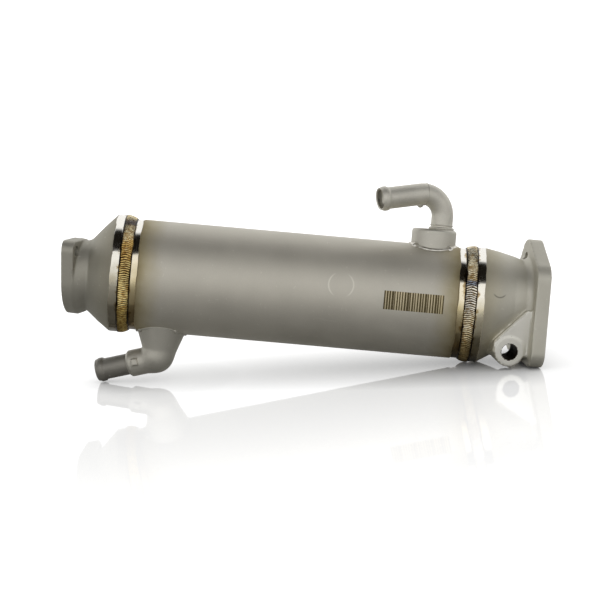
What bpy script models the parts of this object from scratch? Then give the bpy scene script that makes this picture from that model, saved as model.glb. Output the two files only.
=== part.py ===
"""EGR cooler: a stainless shell and its tube bundle between two cast gas housings.

Made in the cooler's own axes: X runs along the shell from the gas inlet to the gas outlet, Z up through
the coolant outlet, and Y away from the side that is looked at. The whole cooler is then laid down on its
lower nipple and the foot of its outlet flange, as it rests on a bench. Lengths are in metres.
"""
import math

import bmesh
import bpy
from mathutils import Matrix, Vector

# Shell
SHELL_DIAMETER = 0.0889
SHELL_WALL = 0.0020
JOINT_SPAN = 0.2716
BAND_WIDTH = 0.0064
BAND_DEPTH = 0.0005

# Welds
WELD_WIDTH = 0.0098
WELD_CROWN = 0.0011
ROOT_GAP = 0.0016

# Inlet housing
INLET_RIM_STEP = 0.00225
INLET_RIM_WIDTH = 0.0064
INLET_NECK_LENGTH = 0.0057
INLET_NECK_DIAMETER = 0.0570
INLET_NECK_DROP = 0.0033
INLET_FLANGE_REACH = 0.0458
INLET_FLANGE_DROP = 0.0051
INLET_FLANGE_DIAMETER = 0.0604
INLET_FLANGE_THICKNESS = 0.0096
INLET_FLANGE_YAW = 9.0
INLET_FLANGE_TILT = 1.8
INLET_BOLT_SPACING = 0.0660
INLET_BOLT_LEAN = 36.4
INLET_LOBE_RADIUS = 0.0082
INLET_PORT_DIAMETER = 0.0460

# Outlet housing
OUTLET_RIM_STEP = 0.00135
OUTLET_RIM_WIDTH = 0.0060
OUTLET_NECK_LENGTH = 0.0037
OUTLET_NECK_DIAMETER = 0.0628
OUTLET_PORT_DIAMETER = 0.0500
OUTLET_PORT_RISE = 0.0074
OUTLET_FLANGE_REACH = 0.0472
OUTLET_FLANGE_THICKNESS = 0.0079
OUTLET_FLANGE_YAW = 10.0
OUTLET_FLANGE_WIDTH = 0.0832
OUTLET_FLANGE_TOP = 0.0558
OUTLET_FLANGE_FOOT = 0.0398
OUTLET_FOOT_SLOPE = 8.7
OUTLET_TOP_BOLT_HEIGHT = 0.0413
OUTLET_CORNER_RADIUS = 0.0112
EAR_REACH = 0.0347
EAR_DROP = 0.0343
EAR_DEPTH = 0.0335
EAR_DIAMETER = 0.0240
EAR_LENGTH = 0.0240
EAR_HOLE = 0.0131
EAR_CLOCKING = 9.0
CASTING_WALL = 0.0040
BOLT_HOLE = 0.0084

# Tube bundle
GAS_TUBE_GAP = 0.0033
GAS_TUBE_WALL = 0.0009
BUNDLE_MARGIN = 0.0041
TUBES_ACROSS = 5
GAS_TUBE_PROUD = 0.0010
TUBE_SHEET_THICKNESS = 0.0030
BAFFLE_THICKNESS = 0.0012
BAFFLE_COUNT = 2

# Coolant outlet on top
CUP_PLACE = 0.1050
CUP_DIAMETER = 0.0356
CUP_TOP = 0.0571
CUP_WALL = 0.0020
CUP_EDGE = 0.0022
BRAZE_WIDTH = 0.0036
OUTLET_PIPE_OFFSET = 0.0053
OUTLET_PIPE_DIAMETER = 0.0174
OUTLET_PIPE_WALL = 0.0012
OUTLET_LEG_HEIGHT = 0.0100
OUTLET_BEND_RADIUS = 0.0170
OUTLET_NIPPLE_LENGTH = 0.0351
OUTLET_NIPPLE_TURN = 20.0
OUTLET_NIPPLE_DIP = 11.4

# Coolant inlet underneath
ELBOW_PLACE = -0.1056
ELBOW_FOOT_DIAMETER = 0.0376
ELBOW_THROAT_DIAMETER = 0.0278
ELBOW_THROAT_DROP = 0.0132
ELBOW_COLLAR_DIAMETER = 0.0214
ELBOW_COLLAR_LENGTH = 0.0146
ELBOW_DIP = 17.2
ELBOW_TURN = 11.2
INLET_NIPPLE_DIAMETER = 0.0170
INLET_NIPPLE_WALL = 0.0012
INLET_NIPPLE_LENGTH = 0.0260
NIPPLE_SEAT = 0.0080

# Hose beads on both nipples
HOSE_BEAD_HEIGHT = 0.0011
HOSE_BEAD_LENGTH = 0.0080

CLEARANCE = 0.0003
ROUND_SIDES = 36
PIPE_SIDES = 14
GAS_TUBE_SIDES = 8

SHELL_RADIUS = SHELL_DIAMETER / 2
SHELL_BORE = SHELL_RADIUS - SHELL_WALL
BAND_RADIUS = SHELL_RADIUS - BAND_DEPTH
SEAT_RADIUS = SHELL_BORE + SHELL_WALL / 4
HALF_SPAN = JOINT_SPAN / 2
GAS_TUBE_DIAMETER = (2 * SHELL_BORE - (TUBES_ACROSS - 1) * GAS_TUBE_GAP - 2 * BUNDLE_MARGIN) / TUBES_ACROSS
GAS_TUBE_PITCH = GAS_TUBE_DIAMETER + GAS_TUBE_GAP
BAFFLE_WINDOW = GAS_TUBE_PITCH / 2


def material(name, colour, roughness):
    """A bare metal with the part's colour."""
    steel = bpy.data.materials.new(name)
    steel.use_nodes = True
    shader = steel.node_tree.nodes["Principled BSDF"]
    shader.inputs["Base Color"].default_value = (*colour, 1.0)
    shader.inputs["Metallic"].default_value = 1.0
    shader.inputs["Roughness"].default_value = roughness
    steel.diffuse_color = (*colour, 1.0)
    return steel


def place(name, mesh):
    """An object in the scene that holds the mesh."""
    piece = bpy.data.objects.new(name, mesh)
    bpy.context.scene.collection.objects.link(piece)
    return piece


def circle(centre, across, up, radius, sides):
    """A ring of points about the centre, from one direction towards the other."""
    points = []
    for step in range(sides):
        angle = 2 * math.pi * step / sides
        points.append(Vector(centre) + across * (radius * math.cos(angle)) + up * (radius * math.sin(angle)))
    return points


def loft(name, rings, closed=False):
    """Rings of points joined by walls, as one closed solid: capped at both ends, or joined end to start."""
    mesh = bpy.data.meshes.new(name)
    shape = bmesh.new()
    layers = [[shape.verts.new(point) for point in ring] for ring in rings]
    pairs = list(zip(layers, layers[1:]))
    if closed:
        pairs.append((layers[-1], layers[0]))
    for low, high in pairs:
        for step in range(len(low)):
            after = (step + 1) % len(low)
            shape.faces.new((low[step], low[after], high[after], high[step]))
    if not closed:
        shape.faces.new(layers[0])
        shape.faces.new(layers[-1])
    bmesh.ops.recalc_face_normals(shape, faces=shape.faces)
    shape.to_mesh(mesh)
    shape.free()
    return mesh


def turned(name, profile, origin, axis, sides):
    """A profile of (along the axis, radius) points turned about the axis, as a closed ring."""
    across, up = square_to(axis)
    rings = [circle(Vector(origin) + axis * along, across, up, radius, sides) for along, radius in profile]
    return loft(name, rings, closed=True)


def square_to(axis):
    """Two directions square to the axis and to each other, the first level where it can be."""
    level = Vector((0, 0, 1)).cross(axis)
    if level.length < 0.1:
        level = Vector((0, 1, 0)).cross(axis)
    level.normalize()
    return level, axis.cross(level).normalized()


def rod(name, start, end, radius, sides):
    """A solid round bar between two points."""
    start, end = Vector(start), Vector(end)
    across, up = square_to((end - start).normalized())
    rings = [circle(start, across, up, radius, sides), circle(end, across, up, radius, sides)]
    return place(name, loft(name, rings))


def plate(name, outline, centre, across, up, normal, depth):
    """A flat outline of (across, up) points given a thickness along its normal."""
    near = [Vector(centre) + across * a + up * b for a, b in outline]
    far = [point + normal * depth for point in near]
    return place(name, loft(name, [near, far]))


def outline_round(circles, steps=32):
    """The outline that wraps tightly round circles of (across, up, radius)."""
    points = []
    for across, up, radius in circles:
        for step in range(steps):
            angle = 2 * math.pi * step / steps
            points.append((across + radius * math.cos(angle), up + radius * math.sin(angle)))
    points.sort()
    sides = []
    for ordered in (points, points[::-1]):
        side = []
        for point in ordered:
            while len(side) > 1 and turn(side[-2], side[-1], point) <= 1e-12:
                side.pop()
            side.append(point)
        sides += side[:-1]
    return sides


def turn(first, second, third):
    """Positive where the path through three points turns left."""
    run = (second[0] - first[0], second[1] - first[1])
    rise = (third[0] - first[0], third[1] - first[1])
    return run[0] * rise[1] - run[1] * rise[0]


def combine(target, other, operation):
    """Joins the other solid to the target, or cuts it away, and removes it."""
    step = target.modifiers.new(operation.lower(), "BOOLEAN")
    step.operation = operation
    step.solver = "EXACT"
    step.object = other
    graph = bpy.context.evaluated_depsgraph_get()
    shaped = bpy.data.meshes.new_from_object(target.evaluated_get(graph))
    target.modifiers.clear()
    target.data = shaped
    bpy.data.objects.remove(other)


def finish(piece, look):
    """One material all over, and smooth rounds between sharp edges."""
    piece.data.materials.clear()
    piece.data.materials.append(look)
    piece.data.polygons.foreach_set("material_index", [0] * len(piece.data.polygons))
    piece.data.shade_smooth()
    piece.data.set_sharp_from_angle(angle=math.radians(35))
    return piece


ALONG = Vector((1, 0, 0))
AWAY = Vector((0, 1, 0))
UP = Vector((0, 0, 1))


def make_shell(look):
    """A drawn tube, turned down beside each weld, with its ends bevelled for welding."""
    groove = HALF_SPAN - WELD_WIDTH / 2
    end = HALF_SPAN - ROOT_GAP / 2
    band = groove - BAND_WIDTH
    outside = [(end, SEAT_RADIUS), (groove, BAND_RADIUS), (band, BAND_RADIUS)]
    outside.append((band - BAND_DEPTH, SHELL_RADIUS))
    right = [(end, SHELL_BORE)] + outside
    left = [(-along, radius) for along, radius in reversed(right)]
    shell = place("shell", turned("shell", right + left, (0, 0, 0), ALONG, ROUND_SIDES))
    cup_hole = CUP_DIAMETER / 2 - CUP_WALL
    drill = rod("cutter", (CUP_PLACE, 0, 0), (CUP_PLACE, 0, SHELL_DIAMETER), cup_hole, 24)
    combine(shell, drill, "DIFFERENCE")
    elbow_hole = INLET_NIPPLE_DIAMETER / 2
    drill = rod("cutter", (ELBOW_PLACE, 0, 0), (ELBOW_PLACE, 0, -SHELL_DIAMETER), elbow_hole, 24)
    combine(shell, drill, "DIFFERENCE")
    return finish(shell, look)


def make_weld(name, side, rim_radius, look):
    """A weld bead in the groove between a housing rim and the shell, its crown standing proud."""
    half = WELD_WIDTH / 2
    lift = CLEARANCE * 4 / 3
    root = ROOT_GAP / 2 - CLEARANCE
    low, high = BAND_RADIUS + lift, rim_radius + lift
    profile = [(root, SEAT_RADIUS + lift), (-root, SEAT_RADIUS + lift)]
    steps = 5
    for step in range(steps + 1):
        share = step / steps
        along = -half + WELD_WIDTH * share
        radius = low + (high - low) * share + WELD_CROWN * math.sin(math.pi * share) ** 0.7
        profile.append((along, radius))
    profile = [(side * (HALF_SPAN + along), radius) for along, radius in profile]
    return finish(place(name, turned(name, profile, (0, 0, 0), ALONG, ROUND_SIDES)), look)


def inlet_axis():
    """The way the inlet flange faces: towards the inlet end, turned away and a little down."""
    yaw = math.radians(INLET_FLANGE_YAW)
    tilt = math.radians(INLET_FLANGE_TILT)
    return Vector((-math.cos(yaw) * math.cos(tilt), math.sin(yaw) * math.cos(tilt), -math.sin(tilt)))


def make_inlet_housing(look):
    """One casting: rim, steep cone, short neck and a two-bolt flange set at an angle."""
    rim = SHELL_RADIUS + INLET_RIM_STEP
    neck = INLET_NECK_DIAMETER / 2
    start = -HALF_SPAN - ROOT_GAP / 2
    groove = -HALF_SPAN - WELD_WIDTH / 2
    shoulder = groove - INLET_RIM_WIDTH
    throat = INLET_NECK_LENGTH + INLET_FLANGE_THICKNESS - HALF_SPAN - INLET_FLANGE_REACH
    facing = inlet_axis()
    across, up = square_to(facing)
    centre = Vector((-HALF_SPAN - INLET_FLANGE_REACH, 0, -INLET_FLANGE_DROP))
    back = centre - facing * INLET_FLANGE_THICKNESS
    fillet = CASTING_WALL / 2

    def level(along, radius, drop=0.0):
        return circle((along, 0, -drop), AWAY, UP, radius, ROUND_SIDES)

    def flanged(point, radius):
        return circle(point, -across, up, radius, ROUND_SIDES)

    middle = (shoulder + throat) / 2
    outer = [
        level(start, SEAT_RADIUS),
        level(groove, rim),
        level(shoulder, rim),
        level(middle, (rim + neck) / 2 + fillet / 4, INLET_NECK_DROP / 2),
        level(throat, neck, INLET_NECK_DROP),
        flanged(back - facing * fillet, neck),
        flanged(back + facing * fillet, neck + fillet / 8),
    ]
    body = place("inlet_housing", loft("inlet_housing", outer))
    half = INLET_BOLT_SPACING / 2
    lean = math.radians(INLET_BOLT_LEAN)
    lobe = (half * math.cos(lean), half * math.sin(lean))
    circles = [(0, 0, INLET_FLANGE_DIAMETER / 2)]
    circles += [(sign * lobe[0], sign * lobe[1], INLET_LOBE_RADIUS) for sign in (1, -1)]
    combine(body, plate("flange", outline_round(circles), centre, across, up, -facing,
                        INLET_FLANGE_THICKNESS), "UNION")
    bore = INLET_PORT_DIAMETER / 2
    passage = [
        level(start + CASTING_WALL, SHELL_BORE - CLEARANCE),
        level(shoulder, SHELL_BORE - CLEARANCE),
        level(throat, bore, INLET_NECK_DROP),
        flanged(back, bore),
        flanged(centre + facing * CASTING_WALL, bore),
    ]
    combine(body, place("cutter", loft("cutter", passage)), "DIFFERENCE")
    for sign in (1, -1):
        hole = centre + across * (sign * lobe[0]) + up * (sign * lobe[1])
        reach = facing * INLET_FLANGE_THICKNESS
        combine(body, rod("cutter", hole - reach * 1.5, hole + reach, BOLT_HOLE / 2, 12), "DIFFERENCE")
    return finish(body, look)


def outlet_axis():
    """The way the outlet flange faces: towards the outlet end, turned a little away."""
    yaw = math.radians(OUTLET_FLANGE_YAW)
    return Vector((math.cos(yaw), math.sin(yaw), 0))


def ear_axis():
    """The way the ear's hole runs: square to the flange's way and rising with the casting's clocking."""
    clocking = math.radians(EAR_CLOCKING)
    yaw = math.radians(OUTLET_FLANGE_YAW)
    level = math.cos(clocking)
    return Vector((-math.sin(yaw) * level, math.cos(yaw) * level, math.sin(clocking)))


def outlet_flange_circles():
    """The rounds that the outlet flange's outline wraps: top lobe, two shoulders and a sloping foot."""
    half = OUTLET_FLANGE_WIDTH / 2
    corner = OUTLET_CORNER_RADIUS
    top = corner * 1.25
    shoulder = corner * 1.5
    reach = half - corner
    foot = -OUTLET_FLANGE_FOOT + corner
    slope = math.tan(math.radians(OUTLET_FOOT_SLOPE))
    return [
        (0, OUTLET_FLANGE_TOP - top, top),
        (half - shoulder, OUTLET_FLANGE_TOP * 0.40, shoulder),
        (shoulder - half, OUTLET_FLANGE_TOP * 0.40, shoulder),
        (-reach, foot - reach * slope, corner),
        (reach, foot + reach * slope, corner),
    ]


def make_outlet_housing(look):
    """One casting: rim, duct, flange with a top bolt lobe, and an ear on a flat gusset."""
    rim = SHELL_RADIUS + OUTLET_RIM_STEP
    neck = OUTLET_NECK_DIAMETER / 2
    start = HALF_SPAN + ROOT_GAP / 2
    groove = HALF_SPAN + WELD_WIDTH / 2
    shoulder = groove + OUTLET_RIM_WIDTH
    throat = HALF_SPAN + OUTLET_FLANGE_REACH - OUTLET_NECK_LENGTH
    facing = outlet_axis()
    across, up = square_to(facing)
    back = Vector((HALF_SPAN + OUTLET_FLANGE_REACH, 0, 0))
    port = back + UP * OUTLET_PORT_RISE
    fillet = CASTING_WALL

    def level(share, radius, lift=0.0):
        along = shoulder + (throat - shoulder) * share
        return circle((along, 0, OUTLET_PORT_RISE * share + lift), AWAY, UP, radius, ROUND_SIDES)

    def flanged(point, radius):
        return circle(point, across, up, radius, ROUND_SIDES)

    outer = [
        circle((start, 0, 0), AWAY, UP, SEAT_RADIUS, ROUND_SIDES),
        circle((groove, 0, 0), AWAY, UP, rim, ROUND_SIDES),
        level(0, rim),
        level(0.35, rim + (neck - rim) * 0.32),
        level(0.75, rim + (neck - rim) * 0.74),
        flanged(port - facing * fillet * 1.2, neck),
        flanged(port - facing * fillet * 0.4, neck + fillet * 0.3),
        flanged(port + facing * fillet / 4, neck + fillet),
    ]
    body = place("outlet_housing", loft("outlet_housing", outer))
    circles = outlet_flange_circles()
    combine(body, plate("flange", outline_round(circles), back, across, up, facing,
                        OUTLET_FLANGE_THICKNESS), "UNION")
    along_ear = ear_axis()
    ear = Vector((HALF_SPAN + EAR_REACH, -EAR_DEPTH, -EAR_DROP))
    far_ear = ear + along_ear * EAR_LENGTH
    combine(body, rod("ear", ear, far_ear, EAR_DIAMETER / 2, 24), "UNION")
    side = along_ear.cross(UP).normalized()
    rise = side.cross(along_ear).normalized()
    reach = (back.x - ear.x) + OUTLET_FLANGE_THICKNESS / 2
    foot = -EAR_DIAMETER * 0.26
    web = [
        (0, foot),
        (reach, foot),
        (reach, EAR_DIAMETER * 1.37),
        (reach - OUTLET_FLANGE_THICKNESS, EAR_DIAMETER * 1.36),
        (-EAR_DIAMETER * 0.55, EAR_DIAMETER * 0.23),
        (-EAR_DIAMETER * 0.57, -EAR_DIAMETER * 0.16),
    ]
    inset = along_ear * CLEARANCE
    combine(body, plate("web", web, ear + inset, side, rise, along_ear, EAR_LENGTH - CASTING_WALL), "UNION")
    bore = OUTLET_PORT_DIAMETER / 2
    inner_rim = SHELL_BORE - CLEARANCE
    passage = [
        circle((start - CASTING_WALL, 0, 0), AWAY, UP, inner_rim, ROUND_SIDES),
        level(0, inner_rim - CASTING_WALL / 4),
        level(0.35, inner_rim + (bore - inner_rim) * 0.52, CASTING_WALL * 0.75),
        level(0.75, inner_rim + (bore - inner_rim) * 0.92, CASTING_WALL * 0.25),
        flanged(port - facing * fillet, bore),
        flanged(port + facing * OUTLET_FLANGE_THICKNESS * 2, bore),
    ]
    combine(body, place("cutter", loft("cutter", passage)), "DIFFERENCE")
    combine(body, rod("cutter", ear - along_ear * CASTING_WALL, far_ear + along_ear * EAR_LENGTH,
                      EAR_HOLE / 2, 20), "DIFFERENCE")
    lower = circles[4]
    for bolt_across, bolt_up in ((0, OUTLET_TOP_BOLT_HEIGHT), lower[:2], (-lower[0], circles[3][1])):
        hole = back + across * bolt_across + up * bolt_up
        depth = OUTLET_FLANGE_THICKNESS
        combine(body, rod("cutter", hole - facing * depth * 0.2, hole + facing * depth * 2,
                          BOLT_HOLE / 2, 12), "DIFFERENCE")
    return finish(body, look)


def bundle_places():
    """The (across, up) places of the gas tubes: a hexagon of three rows out from the middle."""
    rows = []
    height = GAS_TUBE_PITCH * math.sqrt(3) / 2
    outermost = (TUBES_ACROSS - 1) // 2
    for row in range(-outermost, outermost + 1):
        count = TUBES_ACROSS - abs(row)
        for step in range(count):
            rows.append(((step - (count - 1) / 2) * GAS_TUBE_PITCH, row * height))
    return rows


def drill_bundle(piece, along, depth):
    """Drills every gas tube's hole through a plate."""
    radius = GAS_TUBE_DIAMETER / 2 + CLEARANCE
    shape = bmesh.new()
    for across, up in bundle_places():
        ends = []
        for shift in (-depth / 2, depth / 2):
            ring = circle((along + shift, across, up), AWAY, UP, radius, GAS_TUBE_SIDES)
            ends.append([shape.verts.new(point) for point in ring])
        for step in range(GAS_TUBE_SIDES):
            after = (step + 1) % GAS_TUBE_SIDES
            shape.faces.new((ends[0][step], ends[1][step], ends[1][after], ends[0][after]))
        shape.faces.new(ends[0])
        shape.faces.new(ends[1][::-1])
    bmesh.ops.recalc_face_normals(shape, faces=shape.faces)
    drills = bpy.data.meshes.new("drills")
    shape.to_mesh(drills)
    shape.free()
    combine(piece, place("drills", drills), "DIFFERENCE")


def make_tube_sheet(name, side, look):
    """A drilled disc just inside the shell's end, which closes the water jacket."""
    middle = side * (HALF_SPAN - ROOT_GAP / 2 - TUBE_SHEET_THICKNESS / 2)
    half = ALONG * (TUBE_SHEET_THICKNESS / 2)
    centre = Vector((middle, 0, 0))
    sheet = rod(name, centre - half, centre + half, SHELL_BORE - CLEARANCE, ROUND_SIDES)
    drill_bundle(sheet, middle, TUBE_SHEET_THICKNESS * 3)
    return finish(sheet, look)


def make_baffle(name, number, look):
    """A drilled disc with one side cut off, top and bottom in turn, to send the water across."""
    middle = -HALF_SPAN + JOINT_SPAN * number / (BAFFLE_COUNT + 1)
    half = ALONG * (BAFFLE_THICKNESS / 2)
    centre = Vector((middle, 0, 0))
    baffle = rod(name, centre - half, centre + half, SHELL_BORE - CLEARANCE, ROUND_SIDES)
    drill_bundle(baffle, middle, BAFFLE_THICKNESS * 4)
    way = 1 if number % 2 else -1
    bounds = [(-SHELL_RADIUS, 0), (SHELL_RADIUS, 0)]
    bounds += [(SHELL_RADIUS, SHELL_DIAMETER), (-SHELL_RADIUS, SHELL_DIAMETER)]
    edge = centre - ALONG * BAFFLE_THICKNESS * 2 + UP * (way * BAFFLE_WINDOW)
    window = plate("cutter", bounds, edge, AWAY, UP * way, ALONG, BAFFLE_THICKNESS * 4)
    combine(baffle, window, "DIFFERENCE")
    return finish(baffle, look)


def make_gas_tubes(look):
    """Identical plain tubes, each standing a little proud of both tube sheets."""
    end = HALF_SPAN - ROOT_GAP / 2 + GAS_TUBE_PROUD
    outer = GAS_TUBE_DIAMETER / 2
    inner = outer - GAS_TUBE_WALL
    rings = []
    for along, radius in ((-end, inner), (-end, outer), (end, outer), (end, inner)):
        rings.append(circle((along, 0, 0), AWAY, UP, radius, GAS_TUBE_SIDES))
    mesh = loft("gas_tube", rings, closed=True)
    tubes = []
    for number, (across, up) in enumerate(bundle_places(), start=1):
        tube = place(f"gas_tube_{number:02d}", mesh)
        tube.location = (0, across, up)
        tubes.append(tube)
    finish(tubes[0], look)
    return tubes


def shell_height(across):
    """How high the shell's surface, with its clearance, stands at a distance from the middle."""
    return math.sqrt((SHELL_RADIUS + CLEARANCE) ** 2 - across ** 2)


def make_saddle_fillet(name, along, inner, way, look):
    """A braze fillet round a round foot on the shell, thick at the foot and thin at its edge."""
    rings = []
    outer = inner + BRAZE_WIDTH
    for radius, lift in ((inner, 0.0), (outer, 0.0), (outer - BRAZE_WIDTH * 0.2, BRAZE_WIDTH * 0.3),
                         (inner + BRAZE_WIDTH * 0.35, BRAZE_WIDTH * 0.62), (inner, BRAZE_WIDTH)):
        ring = []
        for step in range(ROUND_SIDES):
            angle = 2 * math.pi * step / ROUND_SIDES
            x = radius * math.cos(angle)
            y = radius * math.sin(angle)
            ring.append(Vector((along + x, y, way * (shell_height(y) + lift))))
        rings.append(ring)
    return finish(place(name, loft(name, rings, closed=True)), look)


def make_cup(look):
    """A drawn cup with a rounded rim, its mouth scribed to the shell and a hole for the pipe in its top."""
    outer = CUP_DIAMETER / 2
    inner = outer - CUP_WALL
    low = SHELL_RADIUS * 0.7
    top = CUP_TOP
    edge = CUP_EDGE
    rounding = [(top - edge * (1 - math.sin(a)), outer - edge * (1 - math.cos(a))) for a in
                (math.radians(d) for d in (0, 30, 60, 90))]
    rings = [(low, outer)] + rounding
    solid = [circle((CUP_PLACE, 0, height), ALONG, AWAY, radius, 32) for height, radius in rings]
    cup = place("coolant_outlet_cup", loft("coolant_outlet_cup", solid))
    hollow = rod("cutter", (CUP_PLACE, 0, 0), (CUP_PLACE, 0, top - CUP_WALL), inner, 32)
    combine(cup, hollow, "DIFFERENCE")
    scribe = rod("cutter", (CUP_PLACE - CUP_DIAMETER, 0, 0), (CUP_PLACE + CUP_DIAMETER, 0, 0),
                 SHELL_RADIUS + CLEARANCE, ROUND_SIDES)
    combine(cup, scribe, "DIFFERENCE")
    pipe = OUTLET_PIPE_DIAMETER / 2 + CLEARANCE
    middle = CUP_PLACE + OUTLET_PIPE_OFFSET
    drill = rod("cutter", (middle, 0, CUP_TOP / 2), (middle, 0, CUP_TOP * 1.2), pipe, PIPE_SIDES)
    combine(cup, drill, "DIFFERENCE")
    return finish(cup, look)


def hose_bead(distance, radius):
    """The radius of a nipple at a distance from its open end: a rolled bead, then the plain tube."""
    share = distance / HOSE_BEAD_LENGTH
    if share >= 1:
        return radius
    return radius + HOSE_BEAD_HEIGHT * math.sin(math.pi * (share * 0.8 + 0.2)) ** 0.8


def pipe_rings(frames, radius, wall):
    """Rings out along the pipe's outside and back along its bore, from (point, across, up, swell) frames."""
    bore = radius - wall
    outside = [circle(point, across, up, radius + swell, PIPE_SIDES) for point, across, up, swell in frames]
    inside = [circle(point, across, up, bore + swell / 2, PIPE_SIDES) for point, across, up, swell in frames]
    return outside + inside[::-1]


def make_outlet_pipe(look):
    """One tube: up out of the cup, round a tight bend and out to a hose bead."""
    turn_angle = math.radians(OUTLET_NIPPLE_TURN)
    level = Vector((-math.cos(turn_angle), -math.sin(turn_angle), 0))
    sideways = UP.cross(level)
    foot = Vector((CUP_PLACE + OUTLET_PIPE_OFFSET, 0, CUP_TOP - CUP_WALL * 1.5))
    bend_start = Vector((foot.x, 0, CUP_TOP + OUTLET_LEG_HEIGHT))
    sweep = math.radians(90 + OUTLET_NIPPLE_DIP)
    frames = [(foot, sideways, level, 0.0)]
    bends = 7
    for step in range(bends + 1):
        angle = sweep * step / bends
        point = bend_start + level * (OUTLET_BEND_RADIUS * (1 - math.cos(angle)))
        point = point + UP * (OUTLET_BEND_RADIUS * math.sin(angle))
        out = level * math.cos(angle) - UP * math.sin(angle)
        frames.append((point, sideways, out, 0.0))
    last = frames[-1][0]
    onward = level * math.sin(sweep) + UP * math.cos(sweep)
    radius = OUTLET_PIPE_DIAMETER / 2
    for distance in (1.05, 0.85, 0.6, 0.35, 0.12, 0.0):
        along = OUTLET_NIPPLE_LENGTH - distance * HOSE_BEAD_LENGTH
        swell = hose_bead(distance * HOSE_BEAD_LENGTH, radius) - radius
        frames.append((last + onward * along, sideways, frames[-1][2], swell))
    mesh = loft("coolant_outlet_pipe", pipe_rings(frames, radius, OUTLET_PIPE_WALL), closed=True)
    return finish(place("coolant_outlet_pipe", mesh), look)


def make_pipe_braze(look):
    """A small ring of braze round the pipe where it enters the cup."""
    inner = OUTLET_PIPE_DIAMETER / 2 + CLEARANCE
    width = CUP_WALL * 0.5
    low = CUP_TOP + CLEARANCE
    profile = [(low, inner), (low, inner + width), (low + width * 2, inner + width * 0.8)]
    profile.append((low + width * 3, inner))
    middle = (CUP_PLACE + OUTLET_PIPE_OFFSET, 0, 0)
    return finish(place("pipe_braze", turned("pipe_braze", profile, middle, UP, PIPE_SIDES)), look)


def elbow_frame():
    """The elbow's throat, its pivot corner, the way its collar points and its turning axis."""
    dip = math.radians(ELBOW_DIP)
    turn_angle = math.radians(ELBOW_TURN)
    ahead = math.cos(turn_angle)
    collar = Vector((-math.cos(dip) * ahead, math.sin(turn_angle), -math.sin(dip) * ahead))
    level = Vector((collar.x, collar.y, 0)).normalized()
    throat = Vector((ELBOW_PLACE, 0, -SHELL_RADIUS - ELBOW_THROAT_DROP))
    pivot = throat + level * (ELBOW_THROAT_DIAMETER / 2)
    return throat, pivot, collar.normalized(), level


def collar_centre(pivot, collar, level):
    """The middle of the collar where it leaves the knee."""
    below = level.cross(UP).cross(collar).normalized()
    if below.z > 0:
        below = -below
    return pivot + below * (ELBOW_COLLAR_DIAMETER / 2), below


def make_elbow(look):
    """One casting: a flared leg scribed to the shell, a square knee and a collar for the nipple."""
    throat, pivot, collar, level = elbow_frame()
    axis = level.cross(UP).normalized()
    throat_radius = ELBOW_THROAT_DIAMETER / 2
    foot_radius = ELBOW_FOOT_DIAMETER / 2
    flare = (foot_radius - throat_radius) / ELBOW_THROAT_DROP
    top = -SHELL_RADIUS * 0.72
    sides = 24
    rings = []
    for height in (top, throat.z):
        radius = throat_radius + (height - throat.z) * flare
        rings.append(circle((throat.x, 0, height), level, axis, radius, sides))
    start, below = collar_centre(pivot, collar, level)
    sweep = math.acos(max(-1, min(1, (-level).dot(below))))
    collar_radius = ELBOW_COLLAR_DIAMETER / 2
    turns = 6
    for step in range(1, turns + 1):
        share = step / turns
        angle = sweep * share
        out = -level * math.cos(angle) - UP * math.sin(angle)
        plain = throat_radius + (collar_radius - throat_radius) * share
        rings.append(circle(pivot + out * plain, -out, axis, plain, sides))
    chamfer = ELBOW_COLLAR_LENGTH * 0.16
    for along, radius in ((ELBOW_COLLAR_LENGTH - chamfer, collar_radius),
                          (ELBOW_COLLAR_LENGTH, collar_radius - chamfer * 0.9)):
        rings.append(circle(start + collar * along, -below, axis, radius, sides))
    elbow = place("coolant_inlet_elbow", loft("coolant_inlet_elbow", rings))
    past = 2 * ELBOW_FOOT_DIAMETER
    scribe = rod("cutter", (ELBOW_PLACE - past, 0, 0), (ELBOW_PLACE + past, 0, 0), SHELL_RADIUS + CLEARANCE,
                 ROUND_SIDES)
    combine(elbow, scribe, "DIFFERENCE")
    bore = INLET_NIPPLE_DIAMETER / 2 - INLET_NIPPLE_WALL
    knee = start - collar * (collar_radius * 1.1)
    turning = Vector((ELBOW_PLACE, 0, knee.z))
    out = start + collar * ELBOW_COLLAR_LENGTH * 2
    down = turning - UP * bore * 0.3
    combine(elbow, rod("cutter", (ELBOW_PLACE, 0, 0), down, bore, PIPE_SIDES), "DIFFERENCE")
    combine(elbow, rod("cutter", knee, out, bore, PIPE_SIDES), "DIFFERENCE")
    seat = start + collar * (ELBOW_COLLAR_LENGTH - NIPPLE_SEAT)
    counterbore = INLET_NIPPLE_DIAMETER / 2 + CLEARANCE
    combine(elbow, rod("cutter", seat, out, counterbore, PIPE_SIDES), "DIFFERENCE")
    return finish(elbow, look)


def make_inlet_nipple(look):
    """A hose tube seated in the elbow's collar, with a bead rolled at its open end."""
    throat, pivot, collar, level = elbow_frame()
    start, below = collar_centre(pivot, collar, level)
    across, up = square_to(collar)
    radius = INLET_NIPPLE_DIAMETER / 2
    seat = start + collar * (ELBOW_COLLAR_LENGTH - NIPPLE_SEAT + CLEARANCE)
    tip = start + collar * (ELBOW_COLLAR_LENGTH + INLET_NIPPLE_LENGTH)
    frames = [(seat, across, up, 0.0)]
    for distance in (1.05, 0.85, 0.6, 0.35, 0.12, 0.0):
        swell = hose_bead(distance * HOSE_BEAD_LENGTH, radius) - radius
        frames.append((tip - collar * (distance * HOSE_BEAD_LENGTH), across, up, swell))
    mesh = loft("coolant_inlet_nipple", pipe_rings(frames, radius, INLET_NIPPLE_WALL), closed=True)
    return finish(place("coolant_inlet_nipple", mesh), look)


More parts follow.
